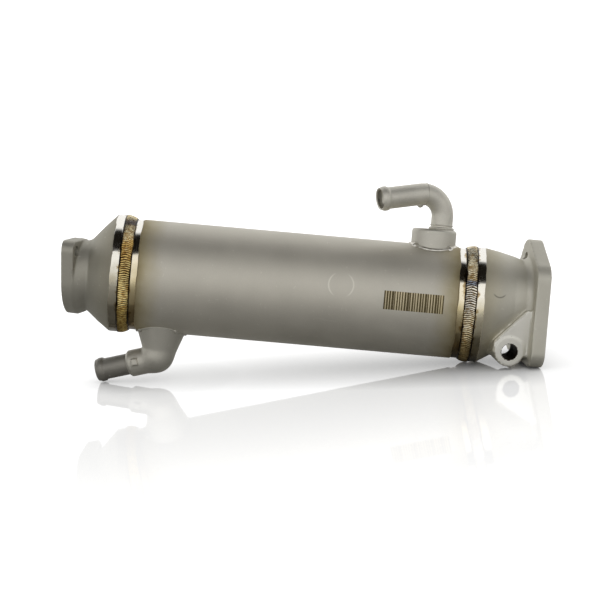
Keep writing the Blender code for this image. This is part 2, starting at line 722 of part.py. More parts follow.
def weight_and_middle(pieces):
    """The corner points of every piece, and the middle of their joint weight."""
    points = []
    total = 0.0
    moment = Vector((0, 0, 0))
    for piece in pieces:
        corners = [piece.matrix_world @ vertex.co for vertex in piece.data.vertices]
        points += corners
        piece.data.calc_loop_triangles()
        for triangle in piece.data.loop_triangles:
            a, b, c = (corners[index] for index in triangle.vertices)
            volume = a.dot(b.cross(c)) / 6
            total += volume
            moment += (a + b + c) * (volume / 4)
    return points, moment / total


def resting_turn(points, middle):
    """The turn that sets the cooler on the facet of its hull that its weight falls through."""
    shape = bmesh.new()
    for point in points:
        shape.verts.new(point)
    bmesh.ops.convex_hull(shape, input=shape.verts)
    best = None
    for face in shape.faces:
        if len(face.verts) != 3:
            continue
        a, b, c = (vertex.co for vertex in face.verts)
        normal = (b - a).cross(c - a).normalized()
        if normal.dot(a - middle) < 0:
            normal = -normal
        if normal.z > -0.8:
            continue
        foot = middle + normal * normal.dot(a - middle)
        sides = [(q - p).cross(foot - p).dot(normal) for p, q in ((a, b), (b, c), (c, a))]
        if min(sides) >= 0 or max(sides) <= 0:
            best = normal
    shape.free()
    floor_up = -best
    heading = (ALONG - floor_up * floor_up.x).normalized()
    return Matrix((heading, floor_up.cross(heading), floor_up)).to_4x4()


def main():
    for leftover in list(bpy.data.objects):
        bpy.data.objects.remove(leftover)
    drawn = material("drawn_stainless", (0.36, 0.35, 0.32), 0.42)
    cast = material("cast_stainless", (0.27, 0.265, 0.235), 0.5)
    weld = material("weld_metal", (0.55, 0.47, 0.30), 0.3)
    braze = material("nickel_braze", (0.46, 0.45, 0.41), 0.4)
    bundle = material("bundle_stainless", (0.30, 0.30, 0.28), 0.45)
    pieces = [
        make_shell(drawn),
        make_inlet_housing(cast),
        make_outlet_housing(cast),
        make_weld("inlet_weld", -1, SHELL_RADIUS + INLET_RIM_STEP, weld),
        make_weld("outlet_weld", 1, SHELL_RADIUS + OUTLET_RIM_STEP, weld),
        make_tube_sheet("inlet_tube_sheet", -1, bundle),
        make_tube_sheet("outlet_tube_sheet", 1, bundle),
        make_cup(drawn),
        make_saddle_fillet("cup_braze", CUP_PLACE, CUP_DIAMETER / 2 + CLEARANCE, 1, braze),
        make_outlet_pipe(drawn),
        make_pipe_braze(braze),
        make_elbow(cast),
        make_inlet_nipple(drawn),
    ]
    for number in range(1, BAFFLE_COUNT + 1):
        pieces.append(make_baffle(f"baffle_{number}", number, bundle))
    pieces += make_gas_tubes(bundle)
    bpy.context.view_layer.update()
    points, middle = weight_and_middle(pieces)
    lie_down = resting_turn(points, middle)
    laid = [lie_down @ point for point in points]
    low = [min(point[axis] for point in laid) for axis in range(3)]
    high = [max(point[axis] for point in laid) for axis in range(3)]
    cooler = bpy.data.objects.new("cooler", None)
    bpy.context.scene.collection.objects.link(cooler)
    ground = Vector((-(low[0] + high[0]) / 2, -(low[1] + high[1]) / 2, -low[2]))
    cooler.matrix_world = Matrix.Translation(ground) @ lie_down
    for piece in pieces:
        piece.parent = cooler
    bpy.context.view_layer.update()


main()
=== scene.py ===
import math
import bpy
from mathutils import Matrix, Vector


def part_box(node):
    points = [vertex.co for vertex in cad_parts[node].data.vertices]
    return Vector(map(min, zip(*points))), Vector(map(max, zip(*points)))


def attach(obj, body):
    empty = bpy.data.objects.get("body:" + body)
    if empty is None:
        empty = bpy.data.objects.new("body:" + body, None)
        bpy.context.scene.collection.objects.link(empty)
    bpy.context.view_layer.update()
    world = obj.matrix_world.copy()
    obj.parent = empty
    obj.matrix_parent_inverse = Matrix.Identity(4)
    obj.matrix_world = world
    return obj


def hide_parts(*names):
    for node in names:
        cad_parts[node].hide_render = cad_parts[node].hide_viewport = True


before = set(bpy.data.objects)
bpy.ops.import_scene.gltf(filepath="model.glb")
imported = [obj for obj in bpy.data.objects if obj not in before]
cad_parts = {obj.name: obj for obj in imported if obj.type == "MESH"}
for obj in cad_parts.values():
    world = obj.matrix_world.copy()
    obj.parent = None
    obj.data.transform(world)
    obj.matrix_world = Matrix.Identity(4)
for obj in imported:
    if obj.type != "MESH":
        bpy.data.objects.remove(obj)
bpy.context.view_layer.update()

# ---- The cooler as it lies, and the camera
# An EGR cooler, photographed from its side on a glossy bench. It lies on its lower nipple and the
# foot of its outlet flange, so its own axes are found from its middle gas tube and its top cup.
middle_tube = [v.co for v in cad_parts["gas_tube_10"].data.vertices]
tube_middle = sum(p.x for p in middle_tube) / len(middle_tube)
tube_ends = []
for side in (-1, 1):
    end = [p for p in middle_tube if side * (p.x - tube_middle) > 0]
    tube_ends.append(sum(end, Vector()) / len(end))
centre = (tube_ends[0] + tube_ends[1]) / 2
along = (tube_ends[1] - tube_ends[0]).normalized()
cup_low, cup_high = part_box("coolant_outlet_cup")
upward = (cup_low + cup_high) / 2 - centre
upward = (upward - along * upward.dot(along)).normalized()
away = upward.cross(along)
cooler = Matrix.Translation(centre) @ Matrix((along, away, upward)).transposed().to_4x4()

# Seen almost square to the shell, from a little above it, with the shell falling to the right
CAMERA_LENS = 147
CAMERA_DISTANCE = 1.96
CAMERA_RISE = math.radians(1.5)
PICTURE_CENTRE = Vector((0.0028, 0, -0.0088))
PICTURE_LEVEL = Vector((0.99613, 0, 0.0878))
look_at = cooler @ PICTURE_CENTRE
turn = cooler.to_3x3()
back = (turn @ Vector((0, -math.cos(CAMERA_RISE), math.sin(CAMERA_RISE)))).normalized()
picture_up = back.cross(turn @ PICTURE_LEVEL).normalized()
picture_right = picture_up.cross(back)
camera = bpy.data.objects.new("camera", bpy.data.cameras.new("camera"))
bpy.context.collection.objects.link(camera)
camera.data.lens = CAMERA_LENS
camera.data.sensor_width = 36
camera.data.clip_start = 0.05
camera.matrix_world = Matrix.Translation(look_at + back * CAMERA_DISTANCE) @ Matrix(
    (picture_right, picture_up, back)).transposed().to_4x4()
bpy.context.scene.camera = camera
bpy.context.scene.view_settings.view_transform = "Standard"


# ---- The bench and the studio round it
# A white bench top of back-lacquered glass that mirrors the cooler softly, in a white studio. The only
# dark thing there is the gap overhead between the front light and the back wall.
BENCH_RADIUS = 6.0
BENCH_DROP = 0.0005
COOLER_REACH = 0.16
# painted light on the bench: its glow, dim near the cooler and full far off, and the reach of its painted
# shadow
GLOW_STARTS, GLOW_NEAR = 0.08, 0.67
GLOW_ENDS, GLOW_FAR = 0.42, 0.94
GLOW_IN_REFLECTIONS = 0.10
PAINTED_SHADOW_REACH = 0.055
# the studio's tones, as shares of the half turn from the front horizon over the top to the back one
STUDIO_WALLS = ((0.0, "#F0EEE8"), (0.03, "#FBFAF6"), (0.07, "#FFFFFF"), (0.295, "#FFFFFF"),
                (0.315, "#16130F"), (0.57, "#16130F"), (0.62, "#FFFFFF"), (1.0, "#FFFFFF"))
# Blender's names for the sums that the patterns are worked out with
MATHS = "ShaderNodeMath"
VECTOR_MATHS = "ShaderNodeVectorMath"
RAMP = "ShaderNodeValToRGB"
RANGE = "ShaderNodeMapRange"
PRINCIPLED = "ShaderNodeBsdfPrincipled"
LESS = {"operation": "SUBTRACT"}
TIMES = {"operation": "MULTIPLY"}
TIMES_PLUS = {"operation": "MULTIPLY_ADD"}
OVER_BY = {"operation": "DIVIDE"}
SIZE = {"operation": "ABSOLUTE"}
LENGTH = {"operation": "LENGTH"}


def linear(colour):
    """an sRGB hex colour as Blender's linear values"""
    parts = [int(colour[i:i + 2], 16) / 255 for i in (1, 3, 5)]
    return [c / 12.92 if c <= 0.04045 else ((c + 0.055) / 1.055) ** 2.4 for c in parts] + [1.0]


def add(tree, kind, settings=(), stops=(), **inputs):
    """a node with its settings and colour stops; an input is a value, or the node or socket feeding it"""
    node = tree.nodes.new(kind)
    for name, value in dict(settings).items():
        setattr(node, name, value)
    for _ in stops[2:]:
        node.color_ramp.elements.new(0.5)
    for place, (share, colour) in enumerate(stops):
        node.color_ramp.elements[place].position = share
        node.color_ramp.elements[place].color = linear(colour)
    for name, value in inputs.items():
        key = int(name[2:]) if name[:2] == "in" and name[2:].isdigit() else name.replace("_", " ")
        if isinstance(value, bpy.types.Node):
            value = next(socket for socket in value.outputs if socket.enabled)
        if isinstance(value, bpy.types.NodeSocket):
            tree.links.new(value, node.inputs[key])
        else:
            node.inputs[key].default_value = value
    return node


def material(name):
    """an empty material, its tree and its output"""
    made = bpy.data.materials.new(name)
    made.use_nodes = True
    made.node_tree.nodes.clear()
    return made, made.node_tree, made.node_tree.nodes.new("ShaderNodeOutputMaterial")


world = bpy.data.worlds.new("studio")
bpy.context.scene.world = world
world.use_nodes = True
sky = world.node_tree
sky.nodes.clear()
axes = add(sky, "ShaderNodeSeparateXYZ", Vector=add(sky, "ShaderNodeTexCoord").outputs["Generated"])
front = add(sky, MATHS, TIMES, in0=axes.outputs["Y"], in1=-1.0)
rise = add(sky, MATHS, {"operation": "ARCTAN2"}, in0=axes.outputs["Z"], in1=front)
half_turn = add(sky, MATHS, OVER_BY, in0=rise, in1=math.pi)
walls = add(sky, RAMP, (), STUDIO_WALLS, Fac=half_turn)
eye = add(sky, "ShaderNodeLightPath")
studio = add(sky, "ShaderNodeBackground", Color=walls, Strength=1.0)
backdrop = add(sky, "ShaderNodeBackground", Color=linear("#FFFFFF"), Strength=1.0)
seen = add(sky, "ShaderNodeMixShader", Fac=eye.outputs["Is Camera Ray"], in1=studio, in2=backdrop)
add(sky, "ShaderNodeOutputWorld", Surface=seen)

bpy.ops.object.select_all(action="DESELECT")
bpy.ops.mesh.primitive_circle_add(vertices=96, radius=BENCH_RADIUS, fill_type="NGON",
                                  location=(0, 0, -BENCH_DROP))
bench = bpy.context.object
bench.name = "bench"
# Back-lacquered glass gives a clear cool reflection over white. The white is a glow of painted light that
# brightens away from the cooler, as under a studio light, with a painted shadow where the cooler touches
# it.
lacquer, tree, output = material("back_lacquered_glass")
coated = add(tree, PRINCIPLED, Base_Color=linear("#929290"), Roughness=0.035, IOR=1.42)
mirror = add(tree, "ShaderNodeBsdfAnisotropic", Color=linear("#FFFFFF"), Roughness=0.035)
gloss = add(tree, "ShaderNodeMixShader", Fac=0.09, in1=coated, in2=mirror)
place = add(tree, "ShaderNodeSeparateXYZ", Vector=add(tree, "ShaderNodeTexCoord").outputs["Object"])
sideways = add(tree, MATHS, SIZE, in0=place.outputs["X"])
past_end = add(tree, MATHS, LESS, in0=sideways, in1=COOLER_REACH)
beyond = add(tree, MATHS, {"operation": "MAXIMUM"}, in0=past_end, in1=0.0)
reach = add(tree, "ShaderNodeCombineXYZ", X=beyond, Y=place.outputs["Y"])
distance = add(tree, VECTOR_MATHS, LENGTH, in0=reach).outputs["Value"]
# painted light: the glow grows brighter away from the cooler
brighter = add(tree, RANGE, Value=distance, From_Min=GLOW_STARTS, From_Max=GLOW_ENDS,
               To_Min=GLOW_NEAR, To_Max=GLOW_FAR)
# painted shadow: ambient occlusion dims the glow where the cooler is close above the bench
painted_contact_shadow = add(tree, "ShaderNodeAmbientOcclusion", {"samples": 8}, Distance=PAINTED_SHADOW_REACH)
shaded = add(tree, MATHS, TIMES, in0=brighter, in1=painted_contact_shadow.outputs["AO"])
glow = add(tree, "ShaderNodeEmission", Color=linear("#FFFFFF"), Strength=shaded)
eye = add(tree, "ShaderNodeLightPath")
# reflections in the metal see a tenth of this painted glow, which lights it from below
seen_by = add(tree, MATHS, TIMES_PLUS, in0=eye.outputs["Is Glossy Ray"], in1=GLOW_IN_REFLECTIONS,
              in2=eye.outputs["Is Camera Ray"])
white = add(tree, "ShaderNodeMixShader", Fac=seen_by, in2=glow)
lit = add(tree, "ShaderNodeAddShader", in0=gloss, in1=white)
tree.links.new(lit.outputs[0], output.inputs["Surface"])
bench.data.materials.append(lacquer)


# ---- Shell
# A drawn tube of 304 stainless, 3.5 inches across, bead-blasted to an even satin grey, with a band
# turned bright beside each weld. A laser has marked a bar code on it, and welding heat has left straw
# and brown colours next to the bands.
SHELL_RADIUS = 0.0889 / 2
SHELL_WALL = 0.0020
SHELL_BORE = SHELL_RADIUS - SHELL_WALL
SHELL_SIDES = 160
BAND_DEPTH = 0.0005
BAND_RADIUS = SHELL_RADIUS - BAND_DEPTH
BAND_WIDTH = 0.0048
HALF_SPAN = 0.2716 / 2
WELD_WIDTH = 0.0098
HALF_WELD = WELD_WIDTH / 2
ROOT_GAP = 0.0008
BLASTED_ROUGHNESS = 0.6
TURNED_ROUGHNESS = 0.13
PALE_RUB = "#F4F1E8"
# pattern sizes, as repeats to the metre
CLOUDS = 30.0         # patches 33 mm wide, left by uneven blasting
BEAD_MARKS = 1100.0   # the blasting's dents, drawn 0.9 mm wide so that they show
SPECKS = 320.0        # bright specks 3 mm apart
WISPS = 70.0          # 14 mm, how far heat colours wander
STREAKS = 110.0       # 9 mm, burnt streaks beside the bead
# heat colours by metres from the joint's middle, and burnt ones at 50 times that
HEAT_TINTS = ((0.012, "#9E8F6A"), (0.016, "#CBBF9C"), (0.022, "#E8E2CE"), (0.034, "#FFFFFF"))
BURNT_TINTS = ((0.53, "#5A4426"), (0.60, "#B8A274"), (0.68, "#FFFFFF"))
# places by height of the turned bands' tones: straw tint, with painted shade underneath and painted light
# on top
TINT_AND_SHADE_PLACES = (0.18, 0.36, 0.58, 0.74, 1.0)
# the bar code's place and bars, and the two arcs rubbed into the blasting beside it
LABEL_ENDS = 0.0680, 0.1150
LABEL_HEIGHTS = -0.0090, 0.0057
BAR_PITCH = 0.0020
BAR_INK, BAR_GROUND = "#4E4329", "#D6C494"
RUB_CENTRE, RUB_RADIUS = (0.0338, 0.0, 0.0070), 0.0098
# Blender's names for colour blends and tests
NOISE = "ShaderNodeTexNoise"
BLEND = "ShaderNodeMix"
BELOW = {"operation": "LESS_THAN"}
ABOVE = {"operation": "GREATER_THAN"}
OVER = {"data_type": "RGBA"}
TINT = {"data_type": "RGBA", "blend_type": "MULTIPLY"}


def turned(name, profile, sides):
    """a closed ring about the cooler's axis: a circle drawn and scaled through (along, radius) steps"""
    bpy.ops.object.select_all(action="DESELECT")
    bpy.ops.mesh.primitive_circle_add(vertices=sides, radius=profile[0][1], location=(profile[0][0], 0, 0),
                                      rotation=(0, math.pi / 2, 0))
    piece = bpy.context.object
    piece.name = name
    bpy.ops.object.transform_apply()
    bpy.ops.object.mode_set(mode="EDIT")
    bpy.ops.mesh.select_all(action="SELECT")
    for (old, was), (new, radius) in zip(profile, profile[1:] + profile[:1]):
        bpy.ops.mesh.extrude_region_move(TRANSFORM_OT_translate={"value": (new - old, 0, 0)})
        bpy.ops.transform.resize(value=(1, radius / was, radius / was), center_override=(new, 0, 0))
    bpy.ops.mesh.select_all(action="SELECT")
    bpy.ops.mesh.remove_doubles(threshold=1e-6)
    bpy.ops.mesh.normals_make_consistent(inside=False)
    bpy.ops.object.mode_set(mode="OBJECT")
    return piece


def settle(piece, look, slot, *nodes, angle=35):
    """a piece made in the cooler's own axes goes to its place, smooth but for its real edges"""
    bpy.ops.object.select_all(action="DESELECT")
    piece.select_set(True)
    bpy.context.view_layer.objects.active = piece
    piece.matrix_world = cooler @ piece.matrix_world
    bpy.ops.object.transform_apply()
    bpy.ops.object.shade_smooth_by_angle(angle=math.radians(angle))
    piece.data.materials.clear()
    piece.data.materials.append(look)
    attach(piece, "root")
    if nodes:
        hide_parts(*nodes)
    return piece


def own_axes(tree):
    """a point in the cooler's own axes, for patterns that follow the shell"""
    back_home = cooler.inverted()
    return add(tree, "ShaderNodeMapping", Vector=add(tree, "ShaderNodeTexCoord").outputs["Object"],
               Location=back_home.to_translation(), Rotation=back_home.to_euler())


def blasted(name, dark, light, roughness=BLASTED_ROUGHNESS, tint=0.0, band=0.0, tint_and_shade_tones=(),
            marked=False, rubs=()):
    """bead-blasted steel between two close greys, with weld heat's tint and a turned band if it has them"""
    made, tree, output = material(name)
    point = own_axes(tree)
    axes = add(tree, "ShaderNodeSeparateXYZ", Vector=point)
    along, across, up = axes.outputs["X"], axes.outputs["Y"], axes.outputs["Z"]
    # blasting gives an even satin grey, a little cloudy and finely dented, with a few bright specks
    cloudy = add(tree, NOISE, Vector=point, Scale=CLOUDS, Detail=4.0, Roughness=0.5)
    dents = add(tree, NOISE, Vector=point, Scale=BEAD_MARKS, Detail=2.0)
    both = add(tree, MATHS, TIMES_PLUS, in0=dents, in1=0.30, in2=cloudy)
    steel = add(tree, RAMP, (), ((0.42, dark), (0.88, light)), Fac=both)
    rough = add(tree, RANGE, Value=cloudy, To_Min=roughness - 0.04, To_Max=roughness + 0.04)
    specks = add(tree, NOISE, Vector=point, Scale=SPECKS, Detail=1.0)
    speck = add(tree, RAMP, (), ((0.72, "#000000"), (0.76, "#808080")), Fac=specks)
    steel = add(tree, BLEND, OVER, in0=speck, in6=steel, in7=linear(PALE_RUB))
    wisps = add(tree, NOISE, Vector=point, Scale=WISPS, Detail=4.0)
    past_joint = add(tree, MATHS, LESS, in0=add(tree, MATHS, SIZE, in0=along), in1=HALF_SPAN)
    from_joint = add(tree, MATHS, SIZE, in0=past_joint)
    facing_us = add(tree, MATHS, BELOW, in0=across, in1=0.0)
    if tint:
        # straw and brown where the weld's heat reached, fading along the metal
        near = add(tree, MATHS, TIMES_PLUS, in0=wisps, in1=0.010, in2=from_joint)
        heat = add(tree, RAMP, (), HEAT_TINTS, Fac=near)
        steel = add(tree, BLEND, TINT, in0=tint, in6=steel, in7=heat)
    flat = add(tree, "ShaderNodeCombineXYZ", X=along, Z=up)
    for middle, radius, way, tone in rubs:
        # an arc rubbed into the blasting, 1 mm wide and soft, on the side of its circle that way points to
        out = add(tree, VECTOR_MATHS, LESS, in0=flat, in1=middle)
        ring = add(tree, VECTOR_MATHS, LENGTH, in0=out).outputs["Value"]
        off = add(tree, MATHS, SIZE, in0=add(tree, MATHS, LESS, in0=ring, in1=radius))
        line = add(tree, RANGE, Value=off, From_Min=0.00025, From_Max=0.00080, To_Min=0.6, To_Max=0.0)
        part = add(tree, VECTOR_MATHS, {"operation": "DOT_PRODUCT"}, in0=out, in1=way).outputs["Value"]
        side = add(tree, RANGE, Value=part, From_Min=radius * 0.45, From_Max=radius * 0.8)
        arc = add(tree, MATHS, TIMES, in0=line, in1=side)
        rubbed = add(tree, MATHS, TIMES, in0=arc, in1=facing_us)
        steel = add(tree, BLEND, OVER, in0=rubbed, in6=steel, in7=linear(tone))
    if marked:
        # the laser's bars: one to each 2 mm, their widths by chance, brown as laser-annealed stainless is
        module = add(tree, MATHS, OVER_BY, in0=along, in1=BAR_PITCH)
        count = add(tree, MATHS, {"operation": "FLOOR"}, in0=module)
        bars = add(tree, "ShaderNodeTexWhiteNoise", {"noise_dimensions": "1D"}, W=count)
        width = add(tree, MATHS, TIMES_PLUS, in0=bars, in1=0.56, in2=0.38)
        share = add(tree, MATHS, {"operation": "FRACT"}, in0=module)
        bar = add(tree, MATHS, BELOW, in0=share, in1=width)
        label = facing_us
        for value, (low, high) in ((along, LABEL_ENDS), (up, LABEL_HEIGHTS)):
            label = add(tree, MATHS, TIMES, in0=label, in1=add(tree, MATHS, ABOVE, in0=value, in1=low))
            label = add(tree, MATHS, TIMES, in0=label, in1=add(tree, MATHS, BELOW, in0=value, in1=high))
        ground = add(tree, MATHS, TIMES, in0=label, in1=0.6)
        steel = add(tree, BLEND, OVER, in0=ground, in6=steel, in7=linear(BAR_GROUND))
        inked = add(tree, MATHS, TIMES, in0=bar, in1=add(tree, MATHS, TIMES, in0=label, in1=0.9))
        steel = add(tree, BLEND, OVER, in0=inked, in6=steel, in7=linear(BAR_INK))
        # fine scratches along the tube from handling, about 20 mm long and 1 mm wide
        drawn = add(tree, "ShaderNodeMapping", Vector=point, Rotation=(0.0, 0.35, 0.0),
                    Scale=(45.0, 45.0, 900.0))
        scratches = add(tree, NOISE, Vector=drawn, Scale=1.0, Detail=1.0)
        scratch = add(tree, RAMP, (), ((0.71, "#000000"), (0.76, "#595959")), Fac=scratches)
        steel = add(tree, BLEND, OVER, in0=scratch, in6=steel, in7=linear(PALE_RUB))
    dent_height = 0.25
    if band:
        # the turned band: bright, straw-tinted by heat, painted with light and shade by height, near white
        # on top and dark underneath, and burnt brown beside the bead
        edge = add(tree, MATHS, TIMES_PLUS, in0=wisps, in1=0.0030, in2=from_joint)
        bright = add(tree, MATHS, BELOW, in0=edge, in1=band + 0.0012)
        # painted light and shade: the band's tones go by height, darker underneath
        band_height = add(tree, MATHS, TIMES_PLUS, in0=wisps, in1=0.030, in2=up)
        down = add(tree, MATHS, TIMES_PLUS, in0=band_height, in1=10.0, in2=0.5)
        band_tint_and_shade = add(tree, RAMP, (), tuple(zip(TINT_AND_SHADE_PLACES, tint_and_shade_tones)), Fac=down)
        streaky = add(tree, NOISE, Vector=point, Scale=STREAKS, Detail=5.0, Roughness=0.65)
        close = add(tree, MATHS, TIMES_PLUS, in0=streaky, in1=0.016, in2=from_joint)
        burnt = add(tree, RAMP, (), BURNT_TINTS, Fac=add(tree, MATHS, TIMES, in0=close, in1=50.0))
        band_tint_and_shade = add(tree, BLEND, TINT, in0=0.9, in6=band_tint_and_shade, in7=burnt)
        steel = add(tree, BLEND, OVER, in0=bright, in6=steel, in7=band_tint_and_shade)
        rough = add(tree, MATHS, TIMES_PLUS, in0=bright, in1=TURNED_ROUGHNESS - roughness, in2=rough)
        dent_height = add(tree, MATHS, TIMES_PLUS, in0=bright, in1=-0.23, in2=0.25)
    dented = add(tree, "ShaderNodeBump", Height=dents, Strength=dent_height, Distance=0.0002)
    shader = add(tree, PRINCIPLED, Base_Color=steel, Metallic=1.0, Roughness=rough, Normal=dented)
    tree.links.new(shader.outputs["BSDF"], output.inputs["Surface"])
    return made


# blasted 304: a pale even satin grey, with a bright turned band at each end, stained straw by heat and
# painted darker underneath as painted shade
blasted_stainless = blasted("bead_blasted_304_stainless", "#CFCBC0", "#DAD6CB", tint=0.9,
                            band=HALF_WELD + BAND_WIDTH, marked=True,
                            tint_and_shade_tones=("#5E4F33", "#94805A", "#C4B690", "#EADFC4", "#F3F0E8"),
                            rubs=((RUB_CENTRE, RUB_RADIUS, (-1, 0, 0), PALE_RUB),
                                  (RUB_CENTRE, RUB_RADIUS, (1, 0, 0), PALE_RUB)))
groove = HALF_SPAN - HALF_WELD
end = HALF_SPAN - ROOT_GAP
right_end = [(end, SHELL_BORE), (end, BAND_RADIUS - 0.001), (groove, BAND_RADIUS),
             (groove - BAND_WIDTH, BAND_RADIUS), (groove - BAND_WIDTH - BAND_DEPTH, SHELL_RADIUS)]
left_end = [(-place, radius) for place, radius in reversed(right_end)]
shell = turned("shell_tube", right_end + left_end, SHELL_SIDES)
settle(shell, blasted_stainless, "drawn_stainless", "shell", angle=25)


# ---- Weld beads
# Each joint is welded all round by a turning torch, so its bead is a row of small crescent ripples,
# under 2 mm apart. Heat has turned it straw and gold, blue where the torch stopped. Its colours carry
# painted light and shade by height, its creases painted shade, and a painted shadow runs along both its
# edges.
INLET_RIM = SHELL_RADIUS + 0.00225
OUTLET_RIM = SHELL_RADIUS + 0.00135
BEAD_CROWN = 0.0012
BEAD_STEPS = 16
BEAD_ROOT = BAND_RADIUS - 0.0004
RIPPLE_PITCH = 0.0017
RIPPLE_SIDES = 9
RIPPLE_DEPTH = 0.00055
RIPPLE_WANDER = 0.00030
WELD_ROUGHNESS = 0.24
BLUE_HALF, BLUE_FADES = 0.0012, 0.0030
HEAT_PATCHES = 150.0   # to the metre: colours change every 7 mm
FLECKS = 380.0         # 2.6 mm, flecks of slag and brown oxide
# colours by height on the cooler, 0.5 at its axis and 1.0 at 50 mm above it, before the patches' share:
# heat's gold and straw, with painted shade underneath and painted highlights at and above the axis
GOLD_TINT_AND_PAINTED_LIGHT = ((0.12, "#A08E58"), (0.34, "#D2B870"), (0.52, "#FFEBAA"), (0.72, "#F8E09A"),
              (0.92, "#DDB972"), (1.0, "#F2E6C2"))
STRAW_TINT_AND_PAINTED_LIGHT = ((0.12, "#857750"), (0.34, "#B8A77C"), (0.52, "#E4DABD"), (0.70, "#FDF9EE"),
               (0.83, "#FDF9EE"), (0.89, "#B59A62"), (1.0, "#F3EBD2"))
# painted shade in each ripple's crease, by how far the point is from its crest
PAINTED_CREASE_SHADE = ((0.16, "#34260F"), (0.48, "#CFC19E"), (0.75, "#FFFFFF"))


def heat_tinted(name, tones, blue_height, blue_tone):
    """weld metal tinted by heat, with painted shade in each ripple's crease and a painted shadow along the
    bead's edges
    """
    made, tree, output = material(name)
    point = own_axes(tree)
    axes = add(tree, "ShaderNodeSeparateXYZ", Vector=point)
    patches = add(tree, NOISE, Vector=point, Scale=HEAT_PATCHES, Detail=4.0, Roughness=0.6)
    # painted light and shade: the tones go by height on the cooler
    wander = add(tree, MATHS, TIMES_PLUS, in0=patches, in1=0.040, in2=axes.outputs["Z"])
    place = add(tree, MATHS, TIMES_PLUS, in0=wander, in1=10.0, in2=0.5)
    gold = add(tree, RAMP, (), tones, Fac=place)
    height = add(tree, MATHS, SIZE, in0=add(tree, MATHS, LESS, in0=axes.outputs["Z"], in1=blue_height))
    stop = add(tree, RANGE, Value=height, From_Min=BLUE_HALF, From_Max=BLUE_FADES, To_Min=0.7, To_Max=0.0)
    facing_us = add(tree, MATHS, BELOW, in0=axes.outputs["Y"], in1=0.0)
    blued = add(tree, MATHS, TIMES, in0=stop, in1=facing_us)
    gold = add(tree, BLEND, OVER, in0=blued, in6=gold, in7=linear(blue_tone))
    flecks = add(tree, NOISE, Vector=point, Scale=FLECKS, Detail=3.0)
    fleck = add(tree, RAMP, (), ((0.36, "#A5854C"), (0.54, "#FFFFFF")), Fac=flecks)
    gold = add(tree, BLEND, TINT, in0=0.75, in6=gold, in7=fleck)
    crest = add(tree, "ShaderNodeAttribute", {"attribute_name": "ripple"}).outputs["Fac"]
    # painted shade: each ripple's crease is darkened
    crease = add(tree, RAMP, (), PAINTED_CREASE_SHADE, Fac=crest)
    gold = add(tree, BLEND, TINT, in0=0.95, in6=gold, in7=crease)
    past_joint = add(tree, MATHS, LESS, in0=add(tree, MATHS, SIZE, in0=axes.outputs["X"]), in1=HALF_SPAN)
    from_joint = add(tree, MATHS, SIZE, in0=past_joint)
    # painted shadow: a dark line along both edges of the bead, where it meets the band
    edge = add(tree, MATHS, TIMES_PLUS, in0=patches, in1=0.0034, in2=from_joint)
    painted_edge_shadow = add(tree, RAMP, (), ((0.50, "#FFFFFF"), (0.60, "#22170A")),
               Fac=add(tree, MATHS, TIMES, in0=edge, in1=100.0))
    gold = add(tree, BLEND, TINT, in0=1.0, in6=gold, in7=painted_edge_shadow)
    shader = add(tree, PRINCIPLED, Base_Color=gold, Metallic=1.0, Roughness=WELD_ROUGHNESS)
    tree.links.new(shader.outputs["BSDF"], output.inputs["Surface"])
    return made


# stainless weld metal, left as welded: bright crests and creases darkened by painted shade, gold at the
# inlet and pale straw at the outlet, with painted light and shade by height
inlet_gold = heat_tinted("gold_heat_tinted_weld_bead", GOLD_TINT_AND_PAINTED_LIGHT, 0.0410, "#4A4A6E")
outlet_straw = heat_tinted("straw_heat_tinted_weld_bead", STRAW_TINT_AND_PAINTED_LIGHT, 0.0172, "#5C7AA8")
for side, name, rim_radius, look in ((-1, "inlet_weld", INLET_RIM, inlet_gold),
                                     (1, "outlet_weld", OUTLET_RIM, outlet_straw)):
    profile = [(-HALF_WELD, BEAD_ROOT)]
    for step in range(BEAD_STEPS + 1):
        share = step / BEAD_STEPS
        radius = BAND_RADIUS + (rim_radius - BAND_RADIUS) * share
        radius += BEAD_CROWN * math.sin(math.pi * share) ** 0.6
        profile.append((WELD_WIDTH * (share - 0.5), radius))
    profile += [(HALF_WELD, BEAD_ROOT)]
    profile = [(side * (HALF_SPAN + place), radius) for place, radius in profile]
    ripples = round(2 * math.pi * rim_radius / RIPPLE_PITCH)
    bead = turned(name + "_bead", profile, ripples * RIPPLE_SIDES)
    crests = bead.data.attributes.new("ripple", "FLOAT", "POINT")
    for vertex in bead.data.vertices:
        # each ripple bows back from the bead's middle, and their spacing wanders a little all round
        angle = math.atan2(vertex.co.y, vertex.co.z)
        across = (abs(vertex.co.x) - HALF_SPAN) / HALF_WELD
        wander = 0.45 * math.sin(angle * 7) + 0.16 * math.sin(angle * 23 + 1 + across)
        bow = 0.75 * abs(across) ** 1.4 + 0.15 * across
        crest = math.sin(math.pi * ((angle * ripples / (2 * math.pi) + bow + wander) % 1))
        crests.data[vertex.index].value = crest * (1 - 0.5 * across ** 4)
        swell = 1 + RIPPLE_DEPTH * (crest - 0.8) * (1 - across ** 4) / rim_radius
        vertex.co.y *= swell
        vertex.co.z *= swell
        vertex.co.x += side * RIPPLE_WANDER * math.sin(angle * 29 + across) * (1 - abs(across))
    settle(bead, look, "weld_metal", name, angle=80)


# ---- Gas housings
# Two investment castings in CF8M stainless, blasted all over, with drilled holes and milled flange
# faces. The inlet one is a steep cone, the outlet one a long duct with a bolt ear on a flat gusset.
CASTING_WALL = 0.0040
BOLT_HOLE = 0.0084 / 2
RIM_LAP = SHELL_BORE + 0.0005
CASTING_GRAIN = 0.0008
ALONG, UP = Vector((1, 0, 0)), Vector((0, 0, 1))


